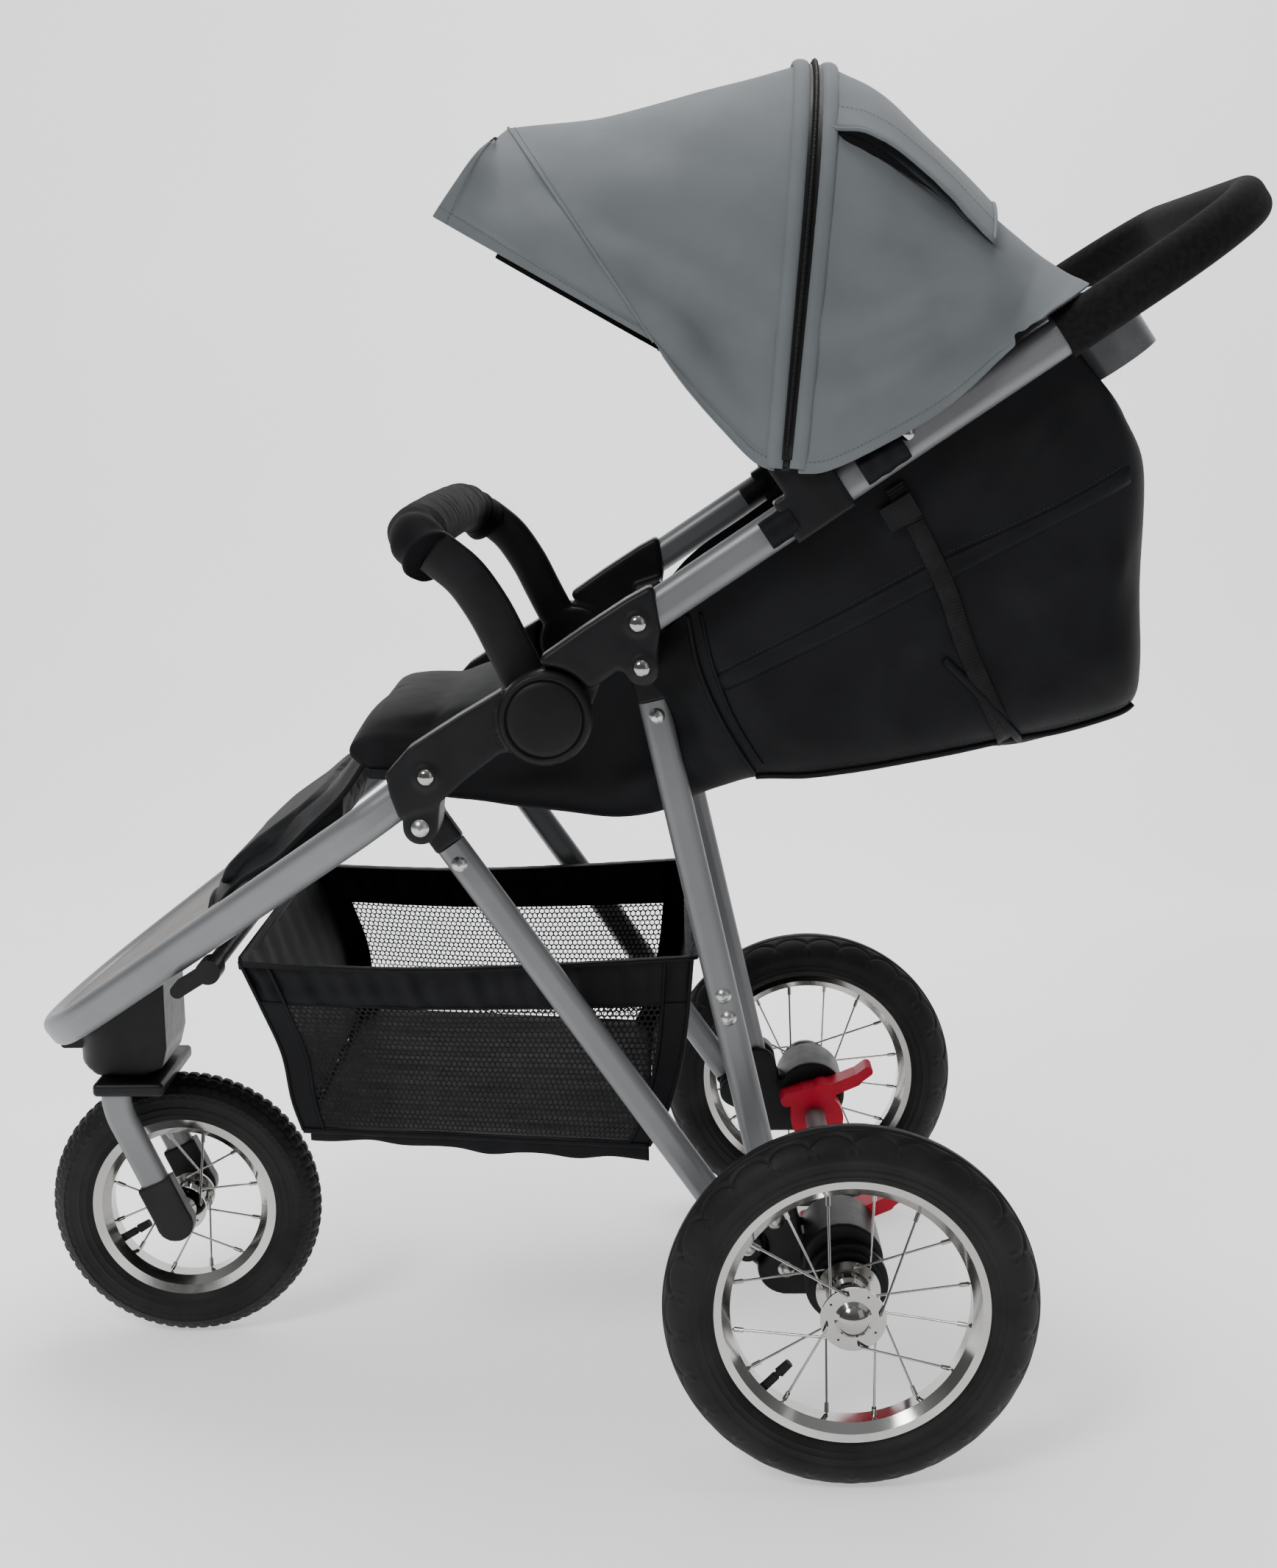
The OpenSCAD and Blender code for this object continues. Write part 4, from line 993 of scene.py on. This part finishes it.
TUB_RIBS = [  # top edge, wall, half width, corner
    ((-140, 580), (-140, 538), 178, 20), ((-88, 602), (-72, 527), 178, 24), ((-28, 630), (-8, 517), 178, 28),
    ((18, 660), (38, 520), 178, 30), ((46, 678), (64, 530), 181, 32), ((64, 696), (90, 546), 212, 34),
    ((83, 712), (119, 557), 236, 34),
    ((118, 735), (206, 568), 236, 34), ((157, 762), (308, 586), 236, 36), ((200, 790), (386, 602), 236, 38),
    ((243, 819), (417, 614), 236, 40), ((279, 843), (423, 644), 236, 44), ((305, 860), (422, 700), 236, 50),
    ((330, 876), (423, 770), 236, 54), ((346, 886), (419, 808), 236, 54), ((357, 893), (404, 834), 236, 48)]
TUB_FOLDS = [(214, 600, 222, 660, 9, 3.5), (222, 655, 262, 705, 9, 3.0), (236, 600, 246, 660, 10, -2.5),
             (268, 668, 286, 644, 7, 2.2), (398, 740, 381, 680, 9, 3.0), (381, 690, 386, 640, 9, 2.6),
             (362, 735, 322, 700, 10, 2.8), (322, 700, 300, 640, 14, -3.0), (290, 755, 350, 838, 12, 4.0),
             (262, 740, 320, 815, 16, -3.0), (120, 640, 190, 700, 22, -2.5), (140, 575, 170, 640, 20, 2.4),
             (330, 610, 372, 668, 16, 3.0), (60, 640, 84, 600, 6, 2.6), (70, 600, 96, 566, 7, 2.4),
             (40, 640, 60, 590, 10, -3.0), (5, 545, 70, 570, 12, 3.0), (-100, 545, -20, 548, 14, 2.5)]
TUB_HEART = Vector((mm(215), 0, mm(700)))


def between(values, t):
    at = min(t, 0.9999) * (len(values) - 1)
    k = int(at)
    return values[k] + (values[k + 1] - values[k]) * smoothstep(at - k)


TUB_HEM = [0, 2, 9, 11]
TUB_COLUMNS = 40


def tub_rows(count):
    tops, walls, halves, corners = zip(*TUB_RIBS)
    stops = [k / (count - 1) for k in range(count)]
    return [arch(side_view(a), side_view(b), between(corners, t), between(halves, t), TUB_HEM, TUB_COLUMNS)
            for a, b, t in zip(side_curve(tops, count), side_curve(walls, count), stops)]


TUB_SIDE_FROM, TUB_SIDE_FADE = 0.150, 0.03
TUB_FULL, TUB_FLOOR_SAG, TUB_FOLD_DEPTH = 3.5, -1.0, 1.7


def tub_height(p, i, j):
    """How far the tub's cloth stands out: folds, a full middle to its sides and a wavy sag in its floor."""
    across = min(j, 2 * TUB_COLUMNS - 2 - j)
    side = smoothstep((abs(p.y) - TUB_SIDE_FROM) / TUB_SIDE_FADE)
    drum = mm(TUB_FULL) * math.sin(math.pi * min(1, across / 30)) * math.sin(math.pi * min(1.0, i / 60))
    sag = mm(TUB_FLOOR_SAG) * math.cos(p.x * 60) * smoothstep((0.14 - abs(p.y)) / 0.1)
    return (drum + fold_height(p, TUB_FOLDS) * TUB_FOLD_DEPTH) * side + soft_noise(p, 55, 2.2) + sag


tub_grid = pushed(tub_rows(76), TUB_HEART, tub_height)
tub, tub_area = cloth_sheet("seat_tub_fabric", tub_grid, TUB_HEART, 1.6, BLACK_CLOTH, LINING)
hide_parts("seat_tub")


tub_surface = BVHTree.FromPolygons([v.co.copy() for v in tub.data.vertices],
                                   [tuple(face.vertices) for face in tub.data.polygons])
RAY_START = 0.6


def on_side(points, side, lift):
    """Drops side-view points onto the tub seen from one side, lifted off it, with their normals."""
    placed, normals = [], []
    for p in points:
        hit, normal, _, _ = tub_surface.ray_cast(Vector((p.x, side * RAY_START, p.z)), Vector((0, -side, 0)))
        if hit is None:
            continue
        if normal.y * side < 0:
            normal = -normal
        placed.append(hit + normal * mm(lift))
        normals.append(normal)
    return placed, normals


def side_path_of(line, count):
    return evenly(side_curve(line, count), count)


def side_band(upper, lower, lift, side):
    """A flat strip sewn on the tub between two side-view lines."""
    top, bottom = side_path_of(upper, 60), side_path_of(lower, 60)
    made = []
    for k, share in enumerate((0.1, 1, 1, 1, 0.1)):
        height = lift * share + 0.6 * math.sin(math.pi * k / 4)
        made.append(on_side([a.lerp(b, k / 4) for a, b in zip(top, bottom)], side, height)[0])
    shortest = min(len(row) for row in made)
    return grid("band", [row[:shortest] for row in made])


def piping(line, side, thick):
    points = on_side(side_path_of(line, 90), side, thick * 0.3)[0]
    return sweep("tub_piping", points, round_section(thick, thick, 10), up=(0, 0, 1))


def tub_stitches(line, side, above):
    """Stitches that follow a line on the tub's side, above it by some millimetres."""
    path = side_path_of([(x, z + above) for x, z in line], 80)
    return stitches("tub_stitch", *on_side(path, side, 0.3), DARK_THREAD)


BAND_TOP = [(84, 645), (156, 680), (242, 725), (269, 738), (339, 769), (402, 803)]
BAND_LOW = [(91, 631), (171, 669), (249, 709), (269, 719), (349, 759), (404, 789)]
TUB_SEAMS = [[(64, 692), (73, 650), (89, 610), (116, 563)], [(74, 694), (83, 655), (99, 612), (122, 572)],
             [(118, 560), (206, 571), (310, 589), (355, 597), (404, 610), (414, 616)]]
tub_trim, tub_thread = [], []
for side in (LEFT, RIGHT):
    tub_trim.append(thickened(face_away(side_band(BAND_TOP, BAND_LOW, 0.9, side), TUB_HEART), 0.8))
    tub_trim += [piping(line, side, thick) for line, thick in zip(TUB_SEAMS, (4.2, 2.8, 5.2))]
    tub_thread += [tub_stitches(line, side, above)
                   for line, above in ((BAND_TOP, 2.5), (BAND_LOW, 2.5), (TUB_SEAMS[2], 5))]
rear_lip = surface_line(tub_grid, [(45, j) for j in range(14, 65)], 2.0, TUB_HEART)[0]
tub_trim.append(sweep("rear_lip", evenly(rear_lip, 120), round_section(5, 7, 10), up=(0, 0, 1)))
tub_trim = dressed(join("seat_tub_trim", tub_trim), BLACK_CLOTH)
tub_thread = join("seat_tub_stitches", tub_thread)

STRAP_LINE = [(222, 790), (227, 784), (242, 754), (262, 713), (279, 663), (300, 618), (316, 588)]
STRAP_WIDTH, STRAP_THICK = 15, 2.0


def recline_strap(side):
    """A ribbon down the tub's side, its flat face outward."""
    laid = on_side(side_path_of(STRAP_LINE, 70), side, 2.4)[0]
    points = curve_through(laid[::6] + [laid[-1]], 90)
    normal = Vector((0, side, 0))
    w, t = mm(STRAP_WIDTH) / 2, mm(STRAP_THICK) / 2
    outline = [(-w, -t), (-w, t * 0.6), (-w * 0.92, t), (0, t), (w * 0.92, t), (w, t * 0.6), (w, -t), (0, -t),
               (-w, -t)]
    rows = []
    for i, p in enumerate(points):
        across = (points[min(i + 1, len(points) - 1)] - points[max(i - 1, 0)]).cross(normal).normalized()
        rows.append([p + across * x + normal * y for x, y in outline])
    return face_outward(grid("recline_webbing", rows))


recline = finish_piece(join("recline_webbing", [recline_strap(LEFT), recline_strap(RIGHT)]), WEBBING)

HANDLE_JOINT, HANDLE_SLOPE, TUBE_ACROSS = (46.5, 703.6), math.radians(33.3), 255


def tube_wrap(start, end, width, height, folds, side):
    """A fabric loop round one handle tube, from start to end along it."""
    c, s = math.cos(HANDLE_SLOPE), math.sin(HANDLE_SLOPE)
    ends = [Vector((mm(HANDLE_JOINT[0] + x * c), mm(side * TUBE_ACROSS), mm(HANDLE_JOINT[1] + x * s)))
            for x in (start, end)]

    def girth(at, whole):
        return 1 + folds * math.sin(at * 420) + 0.03 * math.sin(math.pi * at / whole)

    return sweep("loop", evenly(ends, 30), squarish(width, height, 2.5, 28), size=girth)


LOOPS = ((178, 216, 24.5, 34.5, 0.02), (92, 118, 24, 34, 0.012))
wraps = join("strap_loops", [tube_wrap(*loop, side) for loop in LOOPS for side in (LEFT, RIGHT)])
finish_piece(wraps, BLACK_CLOTH, "handle_frame", "recline_straps", slot="black_fabric")

for piece in (tub, tub_trim, tub_thread, recline):
    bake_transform(piece)

# ---------- cushions ----------

SIM_FRAMES = 20
PRESSURE = 4.0


def cushion(name, material, cap, voxel=5.0, shrink=2.5, slot="black_fabric", sink=None):
    """A stuffed cover: its CAD solid remeshed, then blown up as cloth, each point moving cap mm at most."""
    obj = remeshed(node_copy(name, name + "_cover"), voxel, 3)
    low, high = (pick(v.co.z for v in obj.data.vertices) for pick in (min, max))
    for vertex, inward in [(v, v.normal.copy()) for v in obj.data.vertices]:
        vertex.co -= inward * mm(shrink)
        if sink:
            vertex.co.z -= mm(sink(vertex.co)) * (vertex.co.z - low) / (high - low)
    rest = [v.co.copy() for v in obj.data.vertices]
    cloth = obj.modifiers.new("blow_up", "CLOTH")
    cloth.settings.use_pressure = True
    cloth.settings.uniform_pressure_force = PRESSURE
    cloth.settings.effector_weights.gravity = 0
    cloth.point_cache.frame_end = SIM_FRAMES
    for f in range(1, SIM_FRAMES + 1):
        bpy.context.scene.frame_set(f)
    apply_modifiers(obj)
    bpy.context.scene.frame_set(1)
    for vertex, start in zip(obj.data.vertices, rest):
        moved = vertex.co - start
        if moved.length > mm(cap):
            vertex.co = start + moved.normalized() * mm(cap)
    subdivided(obj)
    obj.data.shade_smooth()
    finish_piece(obj, material, NODES[name]["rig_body"], name, slot=slot)
    return obj


def seat_sink(p):
    """How far the seat's top is pressed in: down at its front and its sides."""
    return 24 * smoothstep((mm(-90) - p.x) / mm(60)) + 12 * min(1, abs(p.y) / mm(168)) ** 3


cushion("seat_pad", SEAT_CLOTH, 7, sink=seat_sink)
back_cover = cushion("seat_back", SEAT_PANEL, 6, voxel=6.0, slot="seat_panel")
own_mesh(back_cover)
calf_cover = cushion("calf_rest", SEAT_CLOTH, 6, voxel=4.0, shrink=1.5)

# The skirt of the seat cover, laid over the calf rest.
CALF_RIBS = [((-196, 590), 160), ((-222, 560), 158), ((-246, 531), 152), ((-272, 510), 146),
             ((-304, 486), 136), ((-330, 463), 126), ((-349, 440), 118)]


CALF_COLUMNS = 41
CALF_FALL, CALF_FALL_FROM = 16, 0.72


def calf_rows():
    """The skirt's points: flat over the calf rest, falling at its sides, with shallow gathers."""
    spots, halves = zip(*CALF_RIBS)
    line = side_curve(spots, 26)
    rows = []
    for k, p in enumerate(line):
        half = between(halves, k / (len(line) - 1))
        row = []
        for w in [-1 + 2 * j / (CALF_COLUMNS - 1) for j in range(CALF_COLUMNS)]:
            fall = CALF_FALL * smoothstep((abs(w) - CALF_FALL_FROM) / (1 - CALF_FALL_FROM)) + 3.5 * w * w
            pucker = 1.5 * math.sin(w * 17 + k * 0.5) * (1 - w * w) + 2.2 * math.sin(k * 0.62 + 2 * abs(w))
            row.append(p + Vector((mm(-0.3 * pucker), mm(half) * w, mm(pucker - fall))))
        rows.append(row)
    return rows


calf_grid = calf_rows()
CALF_HEART = Vector((mm(-200), 0, mm(400)))
calf_skirt, calf_area = cloth_sheet("calf_skirt", calf_grid, CALF_HEART, 2.0, BLACK_CLOTH)
calf_edge = column_of(calf_grid, 0) + calf_grid[-1] + column_of(calf_grid[::-1], -1)
calf_hem = sweep("calf_skirt_hem", evenly(calf_edge, 160), round_section(5, 5, 10), up=(0, 0, 1))
for piece in (calf_skirt, calf_hem):
    finish_piece(piece, BLACK_CLOTH, "front_frame", slot="black_fabric")


# ---------- basket ----------

RIM = [(-309, 408), (-301, 406), (-177, 401), (-72, 403), (66, 410)]
FRONT_EDGE = [(-309, 408), (-291, 364), (-276, 324), (-270, 284), (-262, 256)]
BACK_EDGE = [(66, 410), (60, 345), (52, 300), (40, 262), (28, 240)]
BASKET_HALF, BASKET_TAPER = 184.0, 9.0
BASKET_HEART = Vector((mm(-120), 0, mm(330)))
GATHER_DEEP = 0.27  # the band's share of the depth
GATHER_RISE, NET_SLACK = 1.5, 5.0
CORNER_STRIPS = ((0, 0.06), (0.94, 1))


front_edge, back_edge, rim_edge = (evenly(side_curve(line, 120), 201)
                                   for line in (FRONT_EDGE, BACK_EDGE, RIM))


def side_point(u, v):
    """A point of the basket's side in the side view: u from front to back, v from the rim to the floor."""
    straight = along(front_edge, v).lerp(along(back_edge, v), u)
    dip = (along(rim_edge, u).z - rim_edge[0].lerp(rim_edge[-1], u).z) * (1 - v)
    return Vector((straight.x, 0, straight.z + dip))


def wall_y(v, u):
    """Half width of the basket, the net hanging in a little."""
    slack = math.sin(math.pi * min(1, v / 1.05)) * math.sin(math.pi * min(1, max(0, u)))
    return mm(BASKET_HALF - BASKET_TAPER * v - NET_SLACK * slack)


def basket_folds(u, v, side):
    """Gathers of the band: upright ripples that die out below, and slack in the net."""
    wave = math.sin(u * 62 + 2.2 * math.sin(u * 17 + side)) + 0.6 * math.sin(u * 131 + side * 2)
    band = math.sin(math.pi * min(1, v / GATHER_DEEP)) if v < GATHER_DEEP else 0
    roll = math.sin(v / GATHER_DEEP * 9 + u * 8 + side) * 0.8
    return mm(GATHER_RISE * wave + roll) * band


def wall_patch(name, side, u0, u1, v0, v1, columns, rows, lift=0.0, folded=True):
    points = []
    for i in range(rows):
        v = v0 + (v1 - v0) * i / (rows - 1)
        line = []
        for j in range(columns):
            u = u0 + (u1 - u0) * j / (columns - 1)
            p = side_point(u, v)
            y = wall_y(v, u) + (basket_folds(u, v, side) if folded else 0) + mm(lift)
            line.append(Vector((p.x, side * y, p.z)))
        points.append(line)
    return grid(name, points)


def basket_band(side):
    return thickened(face_away(wall_patch("band", side, 0, 1, 0.03, GATHER_DEEP, 150, 16), BASKET_HEART), 0.9)


ACROSS = [-1 + 2 * j / 40 for j in range(41)]


def end_panel(name, u, bulge):
    """The front or back wall of the basket, with a little sag."""
    rows = []
    for i in range(26):
        v = i / 25
        p = side_point(u, v)
        half = wall_y(v, u)
        row = []
        for w in ACROSS:
            free = (1 - w * w) * math.sin(math.pi * (0.08 + 0.9 * v))
            gather = mm(1.6) * math.sin(w * 23 + v * 4) * (1 - v) * (1 - w ** 8)
            sag = mm(3) * (1 - w * w) * (1 - v)
            row.append(Vector((p.x + mm(bulge) * free + gather, half * w, p.z - sag)))
        rows.append(row)
    return subdivided(thickened(face_away(grid(name, rows), BASKET_HEART), 0.9))


def basket_floor():
    rows = []
    for i in range(41):
        u = i / 40
        p = side_point(u, 1.0)
        row = []
        for w in ACROSS:
            sag = mm(7) * (1 - w ** 6) * (1 - (2 * u - 1) ** 8)
            row.append(Vector((p.x, wall_y(1.0, u) * w, p.z - sag + soft_noise(Vector((p.x, w, 0)), 60, 2))))
        rows.append(row)
    return thickened(grid("floor", rows), 2.0)


def skirt(side):
    """The strip hanging under the bottom seam."""
    rows = []
    for i in range(5):
        t = i / 4
        row = []
        for u in [0.02 + 0.98 * j / 109 for j in range(110)]:
            p = side_point(u, 1.0)
            low = 8 + 4.5 * smoothstep((u - 0.25) / 0.3) + 1.5 * math.sin(u * 26)
            y = wall_y(1.0, u) + mm(0.8 * math.sin(u * 47 + 2 * t) * t)
            row.append(Vector((p.x, side * y, p.z - mm(low) * t)))
        rows.append(row)
    return thickened(grid("skirt", rows), 0.9)


NET_PITCH, NET_LINE = 5.2, 1.5
NET_ENDS = (0.045, 0.955)


def net(side):
    """A honeycomb net over the side of the basket, below the band."""
    width = (rim_edge[-1] - rim_edge[0]).length * 1000
    height = (front_edge[0] - front_edge[-1]).length * 1000
    bm = bmesh.new()
    corners = {}
    step_y = NET_PITCH * math.sqrt(3) / 2
    radius = NET_PITCH / math.sqrt(3)

    def place(x, y):
        u, v = x / width, y / height
        p = side_point(min(1, max(0, u)), min(1, max(0, v)))
        return bm.verts.new((p.x, side * wall_y(v, u), p.z))

    for row in range(int(height * (1 - GATHER_DEEP) / step_y)):
        cy = height * GATHER_DEEP + row * step_y
        for column in range(int(width / NET_PITCH)):
            cx = (column + 0.5 * (row % 2)) * NET_PITCH + NET_PITCH / 2
            if not NET_ENDS[0] * width < cx < NET_ENDS[1] * width:
                continue
            rim, hole = [], []
            for a in [math.radians(30 + 60 * k) for k in range(6)]:
                x, y = cx + radius * math.cos(a), cy + radius * math.sin(a)
                key = (round(x * 2), round(y * 2))
                if key not in corners:
                    corners[key] = place(x, y)
                rim.append(corners[key])
                inner = radius - NET_LINE / 2
                hole.append(place(cx + inner * math.cos(a), cy + inner * math.sin(a)))
            for k in range(6):
                face = (rim[k], rim[(k + 1) % 6], hole[(k + 1) % 6], hole[k])
                if len(set(face)) == 4:
                    bm.faces.new(face)
    mesh = bpy.data.meshes.new("net")
    bm.to_mesh(mesh)
    bm.free()
    obj = bpy.data.objects.new("net", mesh)
    bpy.context.scene.collection.objects.link(obj)
    return thickened(obj, 0.7)


def side_path(side, picks, lift):
    """A path over the basket's side through (u, v) places, lifted off it."""
    return [side_point(u, v) + Vector((0, side * (wall_y(v, u) + mm(lift)), 0)) for u, v in picks]


STEPS = [k / 60 for k in range(61)]
RIM_AT = 0.03
rim_loop = side_path(LEFT, [(u, RIM_AT) for u in STEPS], 0.6)
rim_loop += side_path(RIGHT, [(u, RIM_AT) for u in STEPS[::-1]], 0.6)

basket_parts = [basket_floor(), end_panel("basket_front_wall", 0, -4), end_panel("basket_back_wall", 1, 5)]
basket_edging = []
for side in (LEFT, RIGHT):
    basket_parts += [basket_band(side), skirt(side)]
    basket_parts += [thickened(wall_patch("strip", side, a, b, GATHER_DEEP - 0.02, 1, 8, 40, 0.4, False), 0.9)
                     for a, b in CORNER_STRIPS]
    for u in [end for strip in CORNER_STRIPS for end in strip]:
        upright = side_path(side, [(u, 0.02 + 0.98 * k / 40) for k in range(41)], 1)
        basket_edging.append(sweep("edging", evenly(upright, 60), round_section(3.4, 3.4, 8)))
    lower = side_path(side, [(u, 1.0) for u in STEPS], 1.5)
    basket_edging.append(sweep("floor_piping", evenly(lower, 90), round_section(5, 5, 10), up=(0, 0, 1)))
basket_edging.append(sweep("binding", evenly(rounded(rim_loop, mm(12), 5), 260), squarish(3.4, 12, 3, 16),
                           closed=True, up=(0, 0, 1), size=lambda at, whole: 1 + 0.05 * math.sin(at * 310)))
basket_cloth = join("basket_cloth", basket_parts)
basket_net = join("basket_net", [net(LEFT), net(RIGHT)])
basket_trim = join("basket_trim", basket_edging)
for obj, material in ((basket_cloth, BLACK_CLOTH), (basket_net, WEBBING), (basket_trim, BLACK_CLOTH)):
    finish_piece(obj, material, "front_frame", slot="black_fabric")
    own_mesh(obj)
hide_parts("basket")

# ---------- tyres ----------


# Shares of the wall's height below the shoulder and of the half width: the raised rings of the sidewall.
WALL_RINGS = [(0.12, 0.985), (0.06, 0.965), (-0.02, 0.97), (-0.25, 0.965), (-0.33, 1.0), (-0.41, 0.955),
              (-0.62, 0.92), (-0.68, 0.95), (-0.74, 0.9), (-0.9, 0.82)]
TREAD_END = 36


def tyre_profile(radius, width, bead):
    """Half of the tyre's section, from the crown round the shoulder and down the sidewall to the bead."""
    half = width / 2
    low = radius - half
    turn = [math.radians(k * 80 / 12) for k in range(13)]
    shoulder = [(low + half * math.cos(a), half * math.sin(a)) for a in turn]
    wall = [(low + (low - bead) * down, half * out) for down, out in WALL_RINGS]
    return shoulder + wall + [(bead, half * 0.76), (bead - 1.5, half * 0.64)]


SCALLOP_FOOT = 33.0


def scallop_tread(radius, count, arc, depth):
    """Grooves shaped as overlapping round scales over the shoulder, as a height for one point."""
    pitch = 2 * math.pi * radius / count

    def height(a, run):
        around = (a / (2 * math.pi) * count) % 1.0
        total = 0.8 * math.exp(-((run - 5.5) / 1.0) ** 2)
        for k in (-1, 0, 1, 2):
            away = abs(math.hypot((around - k) * pitch, SCALLOP_FOOT - run) - arc)
            total = max(total, math.exp(-(away / 1.5) ** 2))
        return -depth * total * smoothstep((SCALLOP_FOOT - run) / 9)
    return height


GROOVE_RINGS = (5.0, 15.0, 25.0)


def block_tread(radius, count, depth):
    """Square blocks: rings round the tyre, and cross grooves staggered at the middle ring."""

    def height(a, run):
        stagger = 0.5 if run > GROOVE_RINGS[1] else 0
        slant = (a / (2 * math.pi) * count + stagger) % 1.0
        groove = math.exp(-(((slant - 0.5) * 2 * math.pi * radius / count) / 1.5) ** 2)
        ring = sum(math.exp(-((run - at) / 1.2) ** 2) for at in GROOVE_RINGS)
        return -depth * max(groove, min(1, ring)) * smoothstep((29 - run) / 2)
    return height


def tyre(at, y, radius, width, bead, tread, steps):
    """A tyre round an axle: its section sampled every millimetre, with the tread's grooves cut into it."""
    half = tyre_profile(radius, width, bead)
    fine = []
    for (r0, y0), (r1, y1) in zip(half, half[1:]):
        count = max(1, round(math.hypot(r1 - r0, y1 - y0) / 1.0))
        fine += [(r0 + (r1 - r0) * k / count, y0 + (y1 - y0) * k / count) for k in range(count)]
    fine.append(half[-1])
    runs = running_length([Vector(pair) for pair in fine])
    full = [(r, -w) for r, w in reversed(fine)] + fine[1:]
    spans = list(reversed(runs)) + runs[1:]
    rows = []
    for (r, w), span in zip(full, spans):
        row = []
        lean = math.sqrt(max(0.0, 1 - (min(1.0, abs(w) * 2 / width)) ** 2))
        for s in range(steps):
            a = 2 * math.pi * s / steps
            dip = tread(a, span) if span < TREAD_END else 0
            reach, out = r + dip * lean, w + math.copysign(dip, w) * (1 - lean)
            x, z = at[0] + reach * math.cos(a), at[1] + reach * math.sin(a)
            row.append(Vector((mm(x), mm(y + out), mm(z))))
        rows.append(row)
    return face_outward(weld(grid("tyre", [row + [row[0]] for row in rows + rows[:1]])))


TRACK_HALF = 295
REAR_AXLE, FRONT_AXLE = (188, 150), (-405, 125)
REAR_TYRE = (149.6, 48.6, 110, scallop_tread(150, 26, 23, 3.0), 720)
FRONT_TYRE = (124.7, 43.6, 84.5, block_tread(125, 72, 2.4), 640)
for body, node, axle, y, make in (("wheel_left", "rear_tyre_left", REAR_AXLE, -TRACK_HALF, REAR_TYRE),
                                  ("wheel_right", "rear_tyre_right", REAR_AXLE, TRACK_HALF, REAR_TYRE),
                                  ("front_wheel", "front_tyre", FRONT_AXLE, 0, FRONT_TYRE)):
    finish_piece(tyre(axle, y, *make), RUBBER, body, node, slot="tyre")

# ---------- mouldings of the legs and the front fork ----------

for name, voxel, relax in (("rear_leg_caps", 1.5, 5), ("rear_brackets", 1.6, 4), ("canopy_joints", 1.4, 4),
                           ("fork_housing", 1.6, 5), ("dropout_covers", 1.4, 5), ("front_leg_caps", 1.5, 5)):
    moulded = remeshed(node_copy(name, name + "_moulded"), voxel, relax)
    finish_piece(moulded, CASTING, NODES[name]["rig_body"], name, slot="black_plastic")

CROWN = [(-472, 246), (-408, 246), (-408, 258.4), (-472, 258.4)]
crown_cover = plate(CROWN, -60, 60, RIGHT, 4)
finish_piece(crown_cover, CASTING, "caster", slot="black_plastic")
crown_cover.name = "fork_crown_cover"

# ---------- stage, light and camera ----------

SENSOR_WIDTH, LENS = 36.0, 49.84
YAW, PITCH, ROLL = 0.0192, -0.1852, 0.0133


def make_camera():
    data = bpy.data.cameras.new("camera")
    data.sensor_width, data.lens = SENSOR_WIDTH, LENS
    data.clip_start, data.clip_end = 0.05, 50
    cam = bpy.data.objects.new("camera", data)
    bpy.context.scene.collection.objects.link(cam)
    turn = (Matrix.Rotation(YAW, 3, "Z") @ Matrix.Rotation(PITCH, 3, "X") @ Matrix.Rotation(ROLL, 3, "Y")
            @ Matrix.Rotation(math.pi / 2, 3, "X"))
    cam.rotation_euler = turn.to_euler()
    cam.location = CAMERA_AT
    bpy.context.scene.camera = cam


def area_light(name, at, target, size, power):
    data = bpy.data.lights.new(name, "AREA")
    data.shape = "RECTANGLE"
    data.size, data.size_y = size
    data.energy = power
    obj = bpy.data.objects.new(name, data)
    bpy.context.scene.collection.objects.link(obj)
    obj.location = at
    obj.rotation_euler = (Vector(target) - Vector(at)).to_track_quat("-Z", "Y").to_euler()


def make_stage():
    """A pale floor that curves up into a backdrop."""
    floor_z = CAD_BOX[0][2]
    profile = [(-3.2, 0)] + [(1.6 + 1.2 * math.sin(a), 1.2 - 1.2 * math.cos(a))
                             for a in [math.pi / 2 * k / 14 for k in range(15)]] + [(2.8, 4.5)]
    rows = [[Vector((x, y, floor_z + z)) for x in (-7, -3, 0, 3, 7)] for y, z in profile]
    floor = grid("stage_floor", rows)
    paper = Finish("stage_paper", (0.9, 0.9, 0.9), 0.9, Emission_Color=(1, 1, 1, 1), Emission_Strength=0.55)
    paper.tint(paper.noise(3), (0.89, 0.89, 0.89), (0.92, 0.92, 0.92))
    floor.data.materials.append(paper.material)


def make_world():
    """A pale room, brighter overhead."""
    world = bpy.data.worlds.new("studio")
    world.use_nodes = True
    tree = world.node_tree
    place = tree.nodes.new("ShaderNodeTexCoord")
    split = tree.nodes.new("ShaderNodeSeparateXYZ")
    ramp = tree.nodes.new("ShaderNodeValToRGB")
    low, high = ramp.color_ramp.elements
    low.position, low.color = 0.35, (0.42, 0.42, 0.43, 1)
    high.position, high.color = 0.9, (1.0, 1.02, 1.05, 1)
    tree.links.new(place.outputs["Generated"], split.inputs[0])
    tree.links.new(split.outputs["Z"], ramp.inputs[0])
    tree.links.new(ramp.outputs[0], tree.nodes["Background"].inputs["Color"])
    tree.nodes["Background"].inputs["Strength"].default_value = 0.4
    bpy.context.scene.world = world


make_camera()
make_stage()
HEART = (0, 0, 0.6)
area_light("key", (-1.6, -2.6, 3.0), HEART, (1.1, 1.1), 74)
area_light("fill", (2.4, -2.4, 1.6), HEART, (1.6, 2.2), 6)
area_light("top", (0.2, 0.3, 3.4), HEART, (1.8, 1.5), 74)
area_light("back", (0.5, 2.4, 2.2), (0, 2.6, 0.4), (4.0, 1.6), 24)
make_world()
